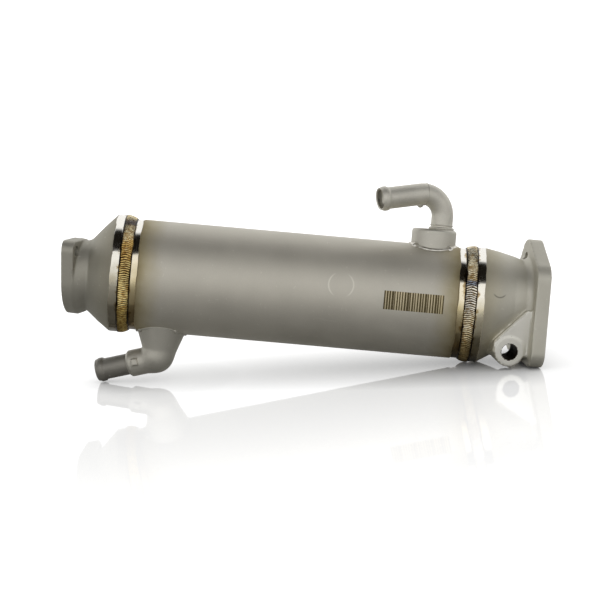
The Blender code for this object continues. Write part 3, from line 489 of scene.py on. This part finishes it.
def only_edges(piece, wanted):
    """picks the edges between two points that are wanted, and no faces, for the next edit"""
    bpy.ops.object.mode_set(mode="OBJECT")
    for edge in piece.data.edges:
        edge.select = wanted(*edge.vertices)
    for face in piece.data.polygons:
        face.select = False
    bpy.ops.object.mode_set(mode="EDIT")


def skinned(name, rings, sides=96):
    """a closed solid drawn through round sections, each its middle, the way it faces and its radius"""
    bpy.ops.object.select_all(action="DESELECT")
    for count, (middle, way, radius) in enumerate(rings):
        facing = Vector(way).to_track_quat("Z", "Y").to_euler()
        bpy.ops.mesh.primitive_circle_add(vertices=sides, radius=radius, location=middle, rotation=facing)
        if not count:
            piece = bpy.context.object
            piece.name = name
            bpy.ops.object.transform_apply()
            bpy.ops.object.mode_set(mode="EDIT")
            bpy.ops.mesh.select_mode(type="EDGE")
            bpy.ops.mesh.edge_face_add()
            continue
        only_edges(piece, lambda a, b: a // sides == b // sides and a // sides in (count - 1, count))
        bpy.ops.mesh.bridge_edge_loops()
        only_edges(piece, lambda a, b: a // sides == count and b // sides == count)
    bpy.ops.mesh.edge_face_add()
    bpy.ops.mesh.select_all(action="SELECT")
    bpy.ops.mesh.normals_make_consistent(inside=False)
    bpy.ops.mesh.select_mode(type="VERT")
    bpy.ops.object.mode_set(mode="OBJECT")
    return piece


def wrapped(name, rounds, centre, across, up, way, depth):
    """a plate whose outline wraps some rounds, each (across, up, radius) from its centre"""
    axes = Matrix((across, up, way)).transposed().to_4x4()
    bpy.ops.object.select_all(action="DESELECT")
    for count, (sideways, height, radius) in enumerate(rounds):
        spot = centre + across * sideways + up * height + way * (depth / 2)
        bpy.ops.mesh.primitive_cylinder_add(vertices=96, radius=radius, depth=depth, location=spot,
                                            rotation=axes.to_euler())
        if not count:
            piece = bpy.context.object
            piece.name = name
            bpy.ops.object.transform_apply()
            bpy.ops.object.mode_set(mode="EDIT")
    bpy.ops.mesh.select_all(action="SELECT")
    bpy.ops.mesh.convex_hull()
    bpy.ops.mesh.select_all(action="SELECT")
    bpy.ops.mesh.normals_make_consistent(inside=False)
    bpy.ops.object.mode_set(mode="OBJECT")
    return piece


def gathered(pieces):
    """separate forms as one object, the first"""
    bpy.ops.object.select_all(action="DESELECT")
    for piece in pieces:
        piece.select_set(True)
    bpy.context.view_layer.objects.active = pieces[0]
    bpy.ops.object.join()
    return pieces[0]


def as_cast(pieces, grain=CASTING_GRAIN, passes=5):
    """the joined forms under one skin with the mould's soft corners"""
    casting = gathered(pieces)
    skin = casting.modifiers.new("skin", "REMESH")
    skin.mode = "VOXEL"
    skin.voxel_size = grain
    soft = casting.modifiers.new("soft", "SMOOTH")
    soft.factor = 0.5
    soft.iterations = passes
    bpy.ops.object.modifier_apply(modifier="skin")
    bpy.ops.object.modifier_apply(modifier="soft")
    return casting


def machined(casting, tools):
    """the casting with holes that the joined tools leave, which don't touch each other"""
    cutter = gathered(tools)
    bpy.ops.object.select_all(action="DESELECT")
    casting.select_set(True)
    bpy.context.view_layer.objects.active = casting
    drill = casting.modifiers.new("drill", "BOOLEAN")
    drill.object = cutter
    drill.operation = "DIFFERENCE"
    drill.solver = "EXACT"
    bpy.ops.object.modifier_apply(modifier="drill")
    bpy.data.objects.remove(cutter)
    return casting


def milled(casting, point, way):
    """the casting's end cut off flat"""
    bpy.ops.object.select_all(action="DESELECT")
    casting.select_set(True)
    bpy.context.view_layer.objects.active = casting
    bpy.ops.object.mode_set(mode="EDIT")
    bpy.ops.mesh.select_all(action="SELECT")
    bpy.ops.mesh.bisect(plane_co=point, plane_no=way, use_fill=True, clear_outer=True)
    bpy.ops.object.mode_set(mode="OBJECT")
    return casting


def rod(name, start, end, radius, sides=64):
    """a plain drill or pin from one point to another"""
    way = end - start
    return skinned(name, [(start, way, radius), (end, way, radius)], sides)


# the inlet casting: rim, steep cone, short neck and a flange for two bolts, turned and tilted
INLET_RIM_WIDTH = 0.0064
INLET_NECK, INLET_NECK_LENGTH, INLET_NECK_DROP = 0.0570 / 2, 0.0057, 0.0033
INLET_REACH, INLET_DROP, INLET_THICK = 0.0458, 0.0051, 0.0096
INLET_YAW, INLET_TILT = math.radians(9.0), math.radians(1.8)
INLET_PORT, INLET_ROUND = 0.0460 / 2, 0.0604 / 2
LOBE_RADIUS, LOBE_LEAN, BOLT_REACH = 0.0082, math.radians(36.4), 0.0330
MILLING_STOCK = 0.0010
facing = Vector((-math.cos(INLET_YAW) * math.cos(INLET_TILT), math.sin(INLET_YAW) * math.cos(INLET_TILT),
                 -math.sin(INLET_TILT)))
across = UP.cross(facing).normalized()
up = facing.cross(across)
start = HALF_SPAN + ROOT_GAP
rim_face = HALF_SPAN + HALF_WELD
shoulder = -rim_face - INLET_RIM_WIDTH
throat = INLET_NECK_LENGTH + INLET_THICK - HALF_SPAN - INLET_REACH
centre = Vector((-HALF_SPAN - INLET_REACH, 0, -INLET_DROP))
back = centre - facing * INLET_THICK
cone = skinned("inlet_casting", [
    ((-start, 0, 0), ALONG, RIM_LAP), ((-rim_face, 0, 0), ALONG, INLET_RIM),
    ((shoulder, 0, 0), ALONG, INLET_RIM),
    (((shoulder + throat) / 2, 0, -INLET_NECK_DROP / 2), ALONG, (INLET_RIM + INLET_NECK) / 2 + 0.0005),
    ((throat, 0, -INLET_NECK_DROP), ALONG, INLET_NECK), (back - facing * 0.0030, facing, INLET_NECK),
    (back - facing * 0.0010, facing, INLET_NECK + 0.0007),
    (back + facing * 0.0020, facing, INLET_NECK + 0.0020)])
lobe_across, lobe_up = BOLT_REACH * math.cos(LOBE_LEAN), BOLT_REACH * math.sin(LOBE_LEAN)
flange = wrapped("flange", [(0, 0, INLET_ROUND), (lobe_across, lobe_up, LOBE_RADIUS),
                            (-lobe_across, -lobe_up, LOBE_RADIUS)],
                 centre + facing * MILLING_STOCK, across, up, -facing, INLET_THICK + MILLING_STOCK)
inlet = milled(as_cast([cone, flange]), centre, facing)
tools = [skinned("passage", [
    ((CASTING_WALL - start, 0, 0), ALONG, SHELL_BORE), ((shoulder, 0, 0), ALONG, SHELL_BORE),
    ((throat, 0, -INLET_NECK_DROP), ALONG, INLET_PORT), (back, facing, INLET_PORT),
    (centre + facing * 0.004, facing, INLET_PORT)])]
for sign in (1, -1):
    hole = centre + across * (sign * lobe_across) + up * (sign * lobe_up)
    tools.append(rod("drill", hole - facing * INLET_THICK * 1.5, hole + facing * 0.004, BOLT_HOLE))
inlet = machined(inlet, tools)
# blasted CF8M, painted a darker grey than the drawn tube's and the outlet casting's as painted shade for
# its cone, with a rim turned bright beside the weld and painted darker underneath
inlet_cast = blasted("blasted_cf8m_inlet_casting", "#ADAA9F", "#B9B6AB", tint=0.35,
                     band=HALF_WELD + INLET_RIM_WIDTH,
                     tint_and_shade_tones=("#77705F", "#A39B88", "#BDB6A4", "#EDE9DD", "#F3F0E8"))
settle(inlet, inlet_cast, "cast_stainless", "inlet_housing", angle=32)

# the outlet casting: rim, duct, flange with a top bolt lobe, and an ear on a flat gusset
OUTLET_RIM_WIDTH = 0.0060
OUTLET_NECK, OUTLET_NECK_LENGTH = 0.0628 / 2, 0.0037
OUTLET_PORT, PORT_RISE = 0.0500 / 2, 0.0074
OUTLET_REACH, OUTLET_THICK, OUTLET_BACKING = 0.0472, 0.0079, 0.0031
OUTLET_YAW, EAR_CLOCKING = math.radians(10.0), math.radians(9.0)
FLANGE_HALF, FLANGE_CORNER, FLANGE_TOP = 0.0832 / 2, 0.0112, 0.0558
FLANGE_FOOT, FOOT_SLOPE = 0.0398, math.radians(8.7)
WIDE_CORNER = FLANGE_CORNER * 1.5
TOP_BOLT, BLIND_DEPTH = 0.0413, 0.0060
EAR_PLACE = Vector((HALF_SPAN + 0.0347, -0.0335, -0.0343))
EAR_RADIUS, EAR_LENGTH, EAR_HOLE = 0.0120, 0.0240, 0.0131 / 2
GUSSET_DEPTH, GUSSET_CORNER = 0.0200, 0.0004
GUSSET_OUTLINE = ((0, -0.0059), (0.0164, -0.0059), (0.0164, 0.0310), (0.0100, 0.0304), (-0.0128, 0.0053),
                  (-0.0133, -0.0036))
# a line 1 mm outside the gusset's sloping edge: how far it goes across for each metre up, and its start
GUSSET_SLOPE, GUSSET_EDGE = 0.908, -0.0186
SCRATCH_CENTRE, SCRATCH_RADIUS = (0.1584, 0.0, 0.0134), 0.0055
facing = Vector((math.cos(OUTLET_YAW), math.sin(OUTLET_YAW), 0))
across = UP.cross(facing).normalized()
shoulder = rim_face + OUTLET_RIM_WIDTH
throat = HALF_SPAN + OUTLET_REACH - OUTLET_NECK_LENGTH
back = Vector((HALF_SPAN + OUTLET_REACH, 0, 0))
port = back + UP * PORT_RISE


def duct(share, radius, lift=0.0):
    """a section of the duct, between the rim and the flange, as it climbs to the port"""
    return (shoulder + (throat - shoulder) * share, 0, PORT_RISE * share + lift), ALONG, radius


cone = skinned("outlet_casting", [
    ((start, 0, 0), ALONG, RIM_LAP), ((rim_face, 0, 0), ALONG, OUTLET_RIM), duct(0, OUTLET_RIM),
    duct(0.35, OUTLET_RIM + (OUTLET_NECK - OUTLET_RIM) * 0.32),
    duct(0.75, OUTLET_RIM + (OUTLET_NECK - OUTLET_RIM) * 0.74),
    (port - facing * 0.0072, facing, OUTLET_NECK), (port - facing * 0.0046, facing, OUTLET_NECK + 0.0014),
    (port - facing * 0.0020, facing, OUTLET_NECK + 0.0048)])
slope = math.tan(FOOT_SLOPE) * (FLANGE_HALF - FLANGE_CORNER)
foot = FLANGE_CORNER - FLANGE_FOOT
near_foot = (FLANGE_CORNER - FLANGE_HALF, foot - slope)
far_foot = (FLANGE_HALF - FLANGE_CORNER, foot + slope)
rounds = [(0, FLANGE_TOP - FLANGE_CORNER * 1.25, FLANGE_CORNER * 1.25),
          (FLANGE_HALF - WIDE_CORNER, 0.0050, WIDE_CORNER),
          (WIDE_CORNER - FLANGE_HALF, FLANGE_TOP * 0.40, WIDE_CORNER),
          (*near_foot, FLANGE_CORNER), (*far_foot, FLANGE_CORNER)]
flange = wrapped("flange", rounds, back - facing * OUTLET_BACKING, across, UP, facing,
                 OUTLET_THICK + OUTLET_BACKING + MILLING_STOCK)
ear_way = Vector((-math.sin(OUTLET_YAW) * math.cos(EAR_CLOCKING),
                  math.cos(OUTLET_YAW) * math.cos(EAR_CLOCKING), math.sin(EAR_CLOCKING)))
boss = rod("boss", EAR_PLACE, EAR_PLACE + ear_way * EAR_LENGTH, EAR_RADIUS)
side = ear_way.cross(UP).normalized()
gusset = wrapped("gusset", [(x, z, GUSSET_CORNER) for x, z in GUSSET_OUTLINE], EAR_PLACE, side,
                 side.cross(ear_way).normalized(), ear_way, GUSSET_DEPTH)
outlet = milled(as_cast([cone, flange, boss, gusset]), back + facing * OUTLET_THICK, facing)
tools = [
    skinned("passage", [
        ((start - CASTING_WALL, 0, 0), ALONG, SHELL_BORE), duct(0, SHELL_BORE - 0.0010),
        duct(0.35, SHELL_BORE + (OUTLET_PORT - SHELL_BORE) * 0.52, 0.0030),
        duct(0.75, SHELL_BORE + (OUTLET_PORT - SHELL_BORE) * 0.92, 0.0010),
        (port - facing * CASTING_WALL, facing, OUTLET_PORT),
        (port + facing * OUTLET_THICK * 2, facing, OUTLET_PORT)]),
    rod("drill", EAR_PLACE - ear_way * 0.004, EAR_PLACE + ear_way * EAR_LENGTH * 2, EAR_HOLE)]
for sideways, height, depth in ((0, TOP_BOLT, BLIND_DEPTH), (*far_foot, BLIND_DEPTH), (*near_foot, 0.0)):
    hole = back + across * sideways + UP * height
    tools.append(rod("drill", hole - facing * depth, hole + facing * OUTLET_THICK * 2, BOLT_HOLE))
outlet = machined(outlet, tools)
# the same blasted CF8M in a paler satin, close to the shell's, with a rim turned bright like the inlet's,
# its tones painted darker underneath in the same way
outlet_cast = blasted("blasted_cf8m_outlet_casting", "#CECBBF", "#D9D6CB", tint=0.5,
                      band=HALF_WELD + OUTLET_RIM_WIDTH,
                      tint_and_shade_tones=("#6E6650", "#A0967C", "#D0C8B0", "#F0EBDE", "#F3F0E8"),
                      rubs=((SCRATCH_CENTRE, SCRATCH_RADIUS, (0, 0, -1), "#6E6A60"),))
settle(outlet, outlet_cast, "cast_stainless", "outlet_housing", angle=32)

# the drilled ear hole is painted a near-black brown inside as painted shade, and the ear's front flat face
# is painted the palest grey of all as a painted reflection
HOLE_SHADE_PATCHES = 300.0   # to the metre: 3 mm
# painted shade inside the drilled hole, in patches
hole_painted_shade, tree, output = material("drilled_hole_painted_shade")
patches = add(tree, NOISE, Vector=own_axes(tree), Scale=HOLE_SHADE_PATCHES, Detail=3.0)
brown = add(tree, RAMP, (), ((0.35, "#2E261C"), (0.65, "#4A4034")), Fac=patches)
shader = add(tree, PRINCIPLED, Base_Color=brown, Metallic=1.0, Roughness=0.6)
tree.links.new(shader.outputs["BSDF"], output.inputs["Surface"])
# painted reflection on the ear's front flat face
ear_face_painted_reflection = blasted("cf8m_ear_face_painted_reflection", "#EBE9E0", "#F4F2EA", roughness=0.5)
outlet.data.materials.append(hole_painted_shade)
outlet.data.materials.append(ear_face_painted_reflection)
home = cooler.inverted()
for face in outlet.data.polygons:
    middle = home @ face.center - EAR_PLACE
    depth = middle.dot(ear_way)
    out = (middle - ear_way * depth).length
    faces_out = (home.to_3x3() @ face.normal).dot(ear_way) < -0.97
    # painted shade inside the drilled hole
    if out < EAR_HOLE + 0.0002 and -0.001 < depth < EAR_LENGTH + 0.001:
        face.material_index = 1
    elif faces_out and abs(depth) < 0.0008 and middle.dot(side) - GUSSET_SLOPE * middle.z > GUSSET_EDGE:
        # the painted reflection, on the ear's and gusset's flat face, not on the duct that it runs into
        face.material_index = 2


# ---- Coolant outlet on top
# A deep-drawn cup, brazed to the shell, with one bent tube brazed into its top. The tube ends in a
# rolled bead that keeps the hose on.
CUP_PLACE, CUP_TOP = 0.1050, 0.0571
CUP_RADIUS, CUP_EDGE = 0.0356 / 2, 0.0026
SCRIBED = SHELL_RADIUS + 0.0003
PIPE_RADIUS = 0.0174 / 2
PIPE_OFFSET, PIPE_SEAT = 0.0053, 0.0030
PIPE_LEG, PIPE_BEND, PIPE_RUN = 0.0100, 0.0170, 0.0351
PIPE_WALL = 0.0012
NIPPLE_TURN, NIPPLE_DIP = math.radians(20.0), math.radians(11.4)
HOSE_BEAD, HOSE_BEAD_LENGTH = 0.0011, 0.0080
BRAZE_THICK, TACK_SIZE = 0.0012, 2.0
CUP_TACKS = ((-0.0152, -0.0122), (0.0128, -0.0146))
SEAM_BACK, NUB_RADIUS = 0.0040, 0.0026
BRAZE_FLOW = 260.0   # to the metre: 4 mm
# drawn 304, lightly blasted: a little smoother than the castings and a shade darker than the shell
cup_steel = blasted("blasted_304_drawn_cup", "#CBC8BE", "#D7D4CA", roughness=0.55)
cup_rings = [((CUP_PLACE, 0, SHELL_RADIUS * 0.7), UP, CUP_RADIUS)]
for degrees in range(0, 91, 10):
    lean = math.radians(degrees)
    cup_rings.append(((CUP_PLACE, 0, CUP_TOP - CUP_EDGE * (1 - math.sin(lean))), UP,
                      CUP_RADIUS - CUP_EDGE * (1 - math.cos(lean))))
shell_cutter = rod("drill", Vector((0.08, 0, 0)), Vector((0.13, 0, 0)), SCRIBED, 256)
cup = machined(skinned("drawn_cup", cup_rings), [shell_cutter])
settle(cup, cup_steel, "drawn_stainless", "coolant_outlet_cup", angle=50)

# nickel braze: a thin bright line with a wet, slightly lumpy gloss
braze_look, tree, output = material("nickel_braze")
flow = add(tree, NOISE, Vector=own_axes(tree), Scale=BRAZE_FLOW, Detail=4.0)
tone = add(tree, RAMP, (), ((0.35, "#D2CEC4"), (0.65, "#F0EDE4")), Fac=flow)
wet = add(tree, "ShaderNodeBump", Height=flow, Strength=0.3, Distance=0.0003)
shader = add(tree, PRINCIPLED, Base_Color=tone, Metallic=1.0, Roughness=0.42, Normal=wet)
tree.links.new(shader.outputs["BSDF"], output.inputs["Surface"])


def saddle_bead(name, along, radius, way, thick, tacks):
    """a fine braze ring round a foot on the shell, with tack welds at some (sideways, across) places"""
    bpy.ops.object.select_all(action="DESELECT")
    bpy.ops.mesh.primitive_torus_add(major_segments=128, minor_segments=12, major_radius=radius,
                                     minor_radius=thick, location=(along, 0, 0))
    ring = bpy.context.object
    ring.name = name
    bpy.ops.object.transform_apply()
    pieces = [ring]
    for sideways, away in tacks:
        bpy.ops.mesh.primitive_ico_sphere_add(subdivisions=3, radius=thick * TACK_SIZE,
                                              location=(along + sideways, away, 0))
        bpy.ops.object.transform_apply()
        pieces.append(bpy.context.object)
    ring = gathered(pieces)
    for vertex in ring.data.vertices:
        vertex.co.z += way * math.sqrt(SHELL_RADIUS ** 2 - vertex.co.y ** 2)
    return ring


cup_fillet = saddle_bead("cup_fillet", CUP_PLACE, CUP_RADIUS + 0.0007, 1, BRAZE_THICK, CUP_TACKS)
settle(cup_fillet, braze_look, "nickel_braze", "cup_braze", angle=60)
pipe_foot = Vector((CUP_PLACE + PIPE_OFFSET, 0, CUP_TOP - PIPE_SEAT))
nipple_way = Vector((-math.cos(NIPPLE_TURN), -math.sin(NIPPLE_TURN), 0))
bend_axis = UP.cross(nipple_way)
sweep = math.radians(90) + NIPPLE_DIP
nipple_out = nipple_way * math.sin(sweep) + UP * math.cos(sweep)
bend_start = Vector((pipe_foot.x, 0, CUP_TOP + PIPE_LEG))
pivot = bend_start + nipple_way * PIPE_BEND
bend_end = pivot + Matrix.Rotation(sweep, 3, bend_axis) @ (bend_start - pivot)
seam_turn = Matrix.Rotation(sweep - SEAM_BACK / PIPE_BEND, 3, bend_axis)
seam = pivot + seam_turn @ (bend_start - pivot)
collars = []
for spot, way, radius, thick in (
        (Vector((pipe_foot.x, 0, CUP_TOP + 0.0008)), UP, PIPE_RADIUS + 0.0004, 0.0011),
        (Vector((pipe_foot.x, 0, CUP_TOP + 0.0034)), UP, PIPE_RADIUS + 0.0001, 0.0005),
        (seam, seam_turn @ UP, PIPE_RADIUS, 0.0004)):
    bpy.ops.object.select_all(action="DESELECT")
    bpy.ops.mesh.primitive_torus_add(major_segments=96, minor_segments=12, major_radius=radius,
                                     minor_radius=thick, location=spot,
                                     rotation=way.to_track_quat("Z", "Y").to_euler())
    bpy.ops.object.transform_apply()
    collars.append(bpy.context.object)
bpy.ops.mesh.primitive_ico_sphere_add(subdivisions=3, radius=NUB_RADIUS,
                                      location=bend_end - nipple_out * 0.0004 - UP * 0.0083)
bpy.ops.object.transform_apply()
pipe_fillet = gathered(collars + [bpy.context.object])
pipe_fillet.name = "pipe_fillet"
settle(pipe_fillet, cup_steel, "nickel_braze", "pipe_braze", angle=60)


def hose_tube(name, start, start_way, radius, steps, spin=None):
    """a tube drawn from its foot, round its bend if it has one, and out through its bead's steps"""
    bpy.ops.object.select_all(action="DESELECT")
    bpy.ops.mesh.primitive_circle_add(vertices=64, radius=radius)
    tube = bpy.context.object
    tube.name = name
    tube.matrix_world = Matrix.Translation(start) @ start_way.to_track_quat("Z", "Y").to_matrix().to_4x4()
    bpy.ops.object.transform_apply()
    bpy.ops.object.mode_set(mode="EDIT")
    bpy.ops.mesh.select_all(action="SELECT")
    middle, way = start.copy(), start_way
    if spin:
        rise_to, pivot, axis, angle, out = spin
        bpy.ops.mesh.extrude_region_move(TRANSFORM_OT_translate={"value": rise_to - middle})
        bpy.ops.mesh.spin(steps=28, angle=-angle, center=pivot, axis=axis)
        middle = pivot + Matrix.Rotation(angle, 3, axis) @ (rise_to - pivot)
        way = out
    was, size = 0.0, radius
    for distance, swell in steps:
        move = way * (distance - was)
        bpy.ops.mesh.extrude_region_move(TRANSFORM_OT_translate={"value": move})
        middle = middle + move
        wide = (radius + swell) / size
        bpy.ops.transform.resize(value=(wide, wide, wide), center_override=middle)
        was, size = distance, radius + swell
    bpy.ops.mesh.select_all(action="SELECT")
    bpy.ops.mesh.remove_doubles(threshold=1e-6)
    bpy.ops.mesh.normals_make_consistent(inside=False)
    bpy.ops.object.mode_set(mode="OBJECT")
    wall = tube.modifiers.new("wall", "SOLIDIFY")
    wall.thickness = PIPE_WALL
    wall.offset = -1
    bpy.ops.object.modifier_apply(modifier="wall")
    return tube


def bead_steps(length):
    """a nipple's plain run, its rolled bead and its rounded lip, as (distance, swell)"""
    shape = [(1.0, 0.0), (0.88, 0.02), (0.83, 0.16), (0.77, 0.66), (0.70, 0.92), (0.58, 1.0), (0.42, 1.0),
             (0.32, 0.9), (0.24, 0.56), (0.12, 0.34), (0.04, 0.2), (0.0, 0.0)]
    return [(length - HOSE_BEAD_LENGTH * share, HOSE_BEAD * swell) for share, swell in shape]


# bent 304 tube: the same satin as the cup, but paler and cloudier
pipe_steel = blasted("satin_304_bent_tube", "#D0CDC3", "#EAE7DD")
bent_pipe = hose_tube("bent_pipe", pipe_foot, UP, PIPE_RADIUS, bead_steps(PIPE_RUN),
                      (bend_start, pivot, bend_axis, sweep, nipple_out))
settle(bent_pipe, pipe_steel, "drawn_stainless", "coolant_outlet_pipe", angle=50)


# ---- Coolant inlet underneath
# An investment-cast elbow in darker grey, scribed to the shell, tacked and brazed on, with a hose
# tube pressed into its collar. A small square pad on the collar is where the wax was gated.
ELBOW_PLACE = -0.1056
THROAT_RADIUS, THROAT_DROP, FOOT_RADIUS = 0.0278 / 2, 0.0132, 0.0376 / 2
COLLAR_RADIUS, COLLAR_LENGTH, COLLAR_BEVEL = 0.0214 / 2, 0.0146, 0.0023
ELBOW_DIP, ELBOW_TURN = math.radians(17.2), math.radians(11.2)
KNEE_STEPS, KNEE_FULLNESS = 12, 0.09
GATE_PAD = (0.0050, 0.0040, 0.0052)
GATE_ALONG, GATE_OFF = 0.0089, Vector((0, -0.0108, 0.0008))
NIPPLE_RADIUS, NIPPLE_RUN, NIPPLE_STOP = 0.0170 / 2, 0.0337, 0.0066
NIPPLE_FIT = 0.0003
ELBOW_TACKS = ((-0.0162, -0.0109), (0.0119, -0.0155))
collar_way = Vector((-math.cos(ELBOW_DIP) * math.cos(ELBOW_TURN), math.sin(ELBOW_TURN),
                     -math.sin(ELBOW_DIP) * math.cos(ELBOW_TURN))).normalized()
level_way = Vector((collar_way.x, collar_way.y, 0)).normalized()
elbow_throat = Vector((ELBOW_PLACE, 0, -SHELL_RADIUS - THROAT_DROP))
knee = elbow_throat + level_way * THROAT_RADIUS
below = level_way.cross(UP).cross(collar_way).normalized()
below = -below if below.z > 0 else below
collar_start = knee + below * COLLAR_RADIUS
top = -SHELL_RADIUS * 0.72
flare = (FOOT_RADIUS - THROAT_RADIUS) / THROAT_DROP
sections = [((ELBOW_PLACE, 0, top), -UP, THROAT_RADIUS + (top - elbow_throat.z) * flare),
            (elbow_throat, -UP, THROAT_RADIUS)]
round_knee = math.acos((-level_way).dot(below))
for step in range(1, KNEE_STEPS + 1):
    share = step / KNEE_STEPS
    angle = round_knee * share
    out = -level_way * math.cos(angle) - UP * math.sin(angle)
    radius = THROAT_RADIUS + (COLLAR_RADIUS - THROAT_RADIUS) * share ** 0.8
    radius *= 1 + KNEE_FULLNESS * math.sin(math.pi * share) ** 2
    sections.append((knee + out * radius, level_way * math.sin(angle) - UP * math.cos(angle), radius))
sections += [(collar_start + collar_way * (COLLAR_LENGTH - COLLAR_BEVEL), collar_way, COLLAR_RADIUS),
             (collar_start + collar_way * COLLAR_LENGTH, collar_way, COLLAR_RADIUS - 0.0021)]
elbow = skinned("cast_elbow", sections, 72)
bpy.ops.object.select_all(action="DESELECT")
bpy.ops.mesh.primitive_cube_add(size=1, location=collar_start + collar_way * GATE_ALONG + GATE_OFF,
                                rotation=collar_way.to_track_quat("X", "Z").to_euler(), scale=GATE_PAD)
bpy.ops.object.transform_apply()
elbow = as_cast([elbow, bpy.context.object], grain=0.0006, passes=4)
shell_cutter = rod("drill", Vector((-0.15, 0, 0)), Vector((-0.06, 0, 0)), SCRIBED, 256)
elbow = machined(elbow, [shell_cutter])
socket = rod("drill", collar_start + collar_way * NIPPLE_STOP, collar_start + collar_way * 0.03,
             NIPPLE_RADIUS + NIPPLE_FIT)
elbow = machined(elbow, [socket])
# blasted CF8M again, between the two housings' greys, with nothing turned bright
elbow_cast = blasted("blasted_cf8m_elbow", "#C4C1B7", "#D4D1C7")
settle(elbow, elbow_cast, "cast_stainless", "coolant_inlet_elbow", angle=32)
# blasted 304 again, and the darkest grey that any of the blasted pieces shows
nipple_steel = blasted("blasted_304_hose_nipple", "#93908A", "#A5A299")
nipple = hose_tube("hose_nipple", collar_start + collar_way * (NIPPLE_STOP + NIPPLE_FIT), collar_way,
                   NIPPLE_RADIUS, bead_steps(NIPPLE_RUN))
settle(nipple, nipple_steel, "drawn_stainless", "coolant_inlet_nipple", angle=50)
elbow_ring = saddle_bead("elbow_fillet", ELBOW_PLACE, THROAT_RADIUS + (THROAT_DROP + 0.0020) * flare, -1,
                         0.0010, ELBOW_TACKS)
settle(elbow_ring, elbow_cast, "nickel_braze", angle=60)


# ---- Tube bundle
# Nineteen thin stainless gas tubes, nickel-brazed into two drilled plates, with two baffles between.
# Vacuum brazing leaves them a warm, clean grey with faint stains where the braze ran.
BRAZE_STAINS = 120.0   # to the metre: 8 mm
furnace_steel, tree, output = material("vacuum_brazed_304_stainless")
stain = add(tree, NOISE, Vector=own_axes(tree), Scale=BRAZE_STAINS, Detail=4.0)
tone = add(tree, RAMP, (), ((0.35, "#8A8478"), (0.65, "#B5AFA2")), Fac=stain)
shader = add(tree, PRINCIPLED, Base_Color=tone, Metallic=1.0, Roughness=0.38)
tree.links.new(shader.outputs["BSDF"], output.inputs["Surface"])
for name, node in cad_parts.items():
    if name.startswith(("gas_tube", "baffle")) or name.endswith("tube_sheet"):
        for holder in node.material_slots:
            holder.material = furnace_steel
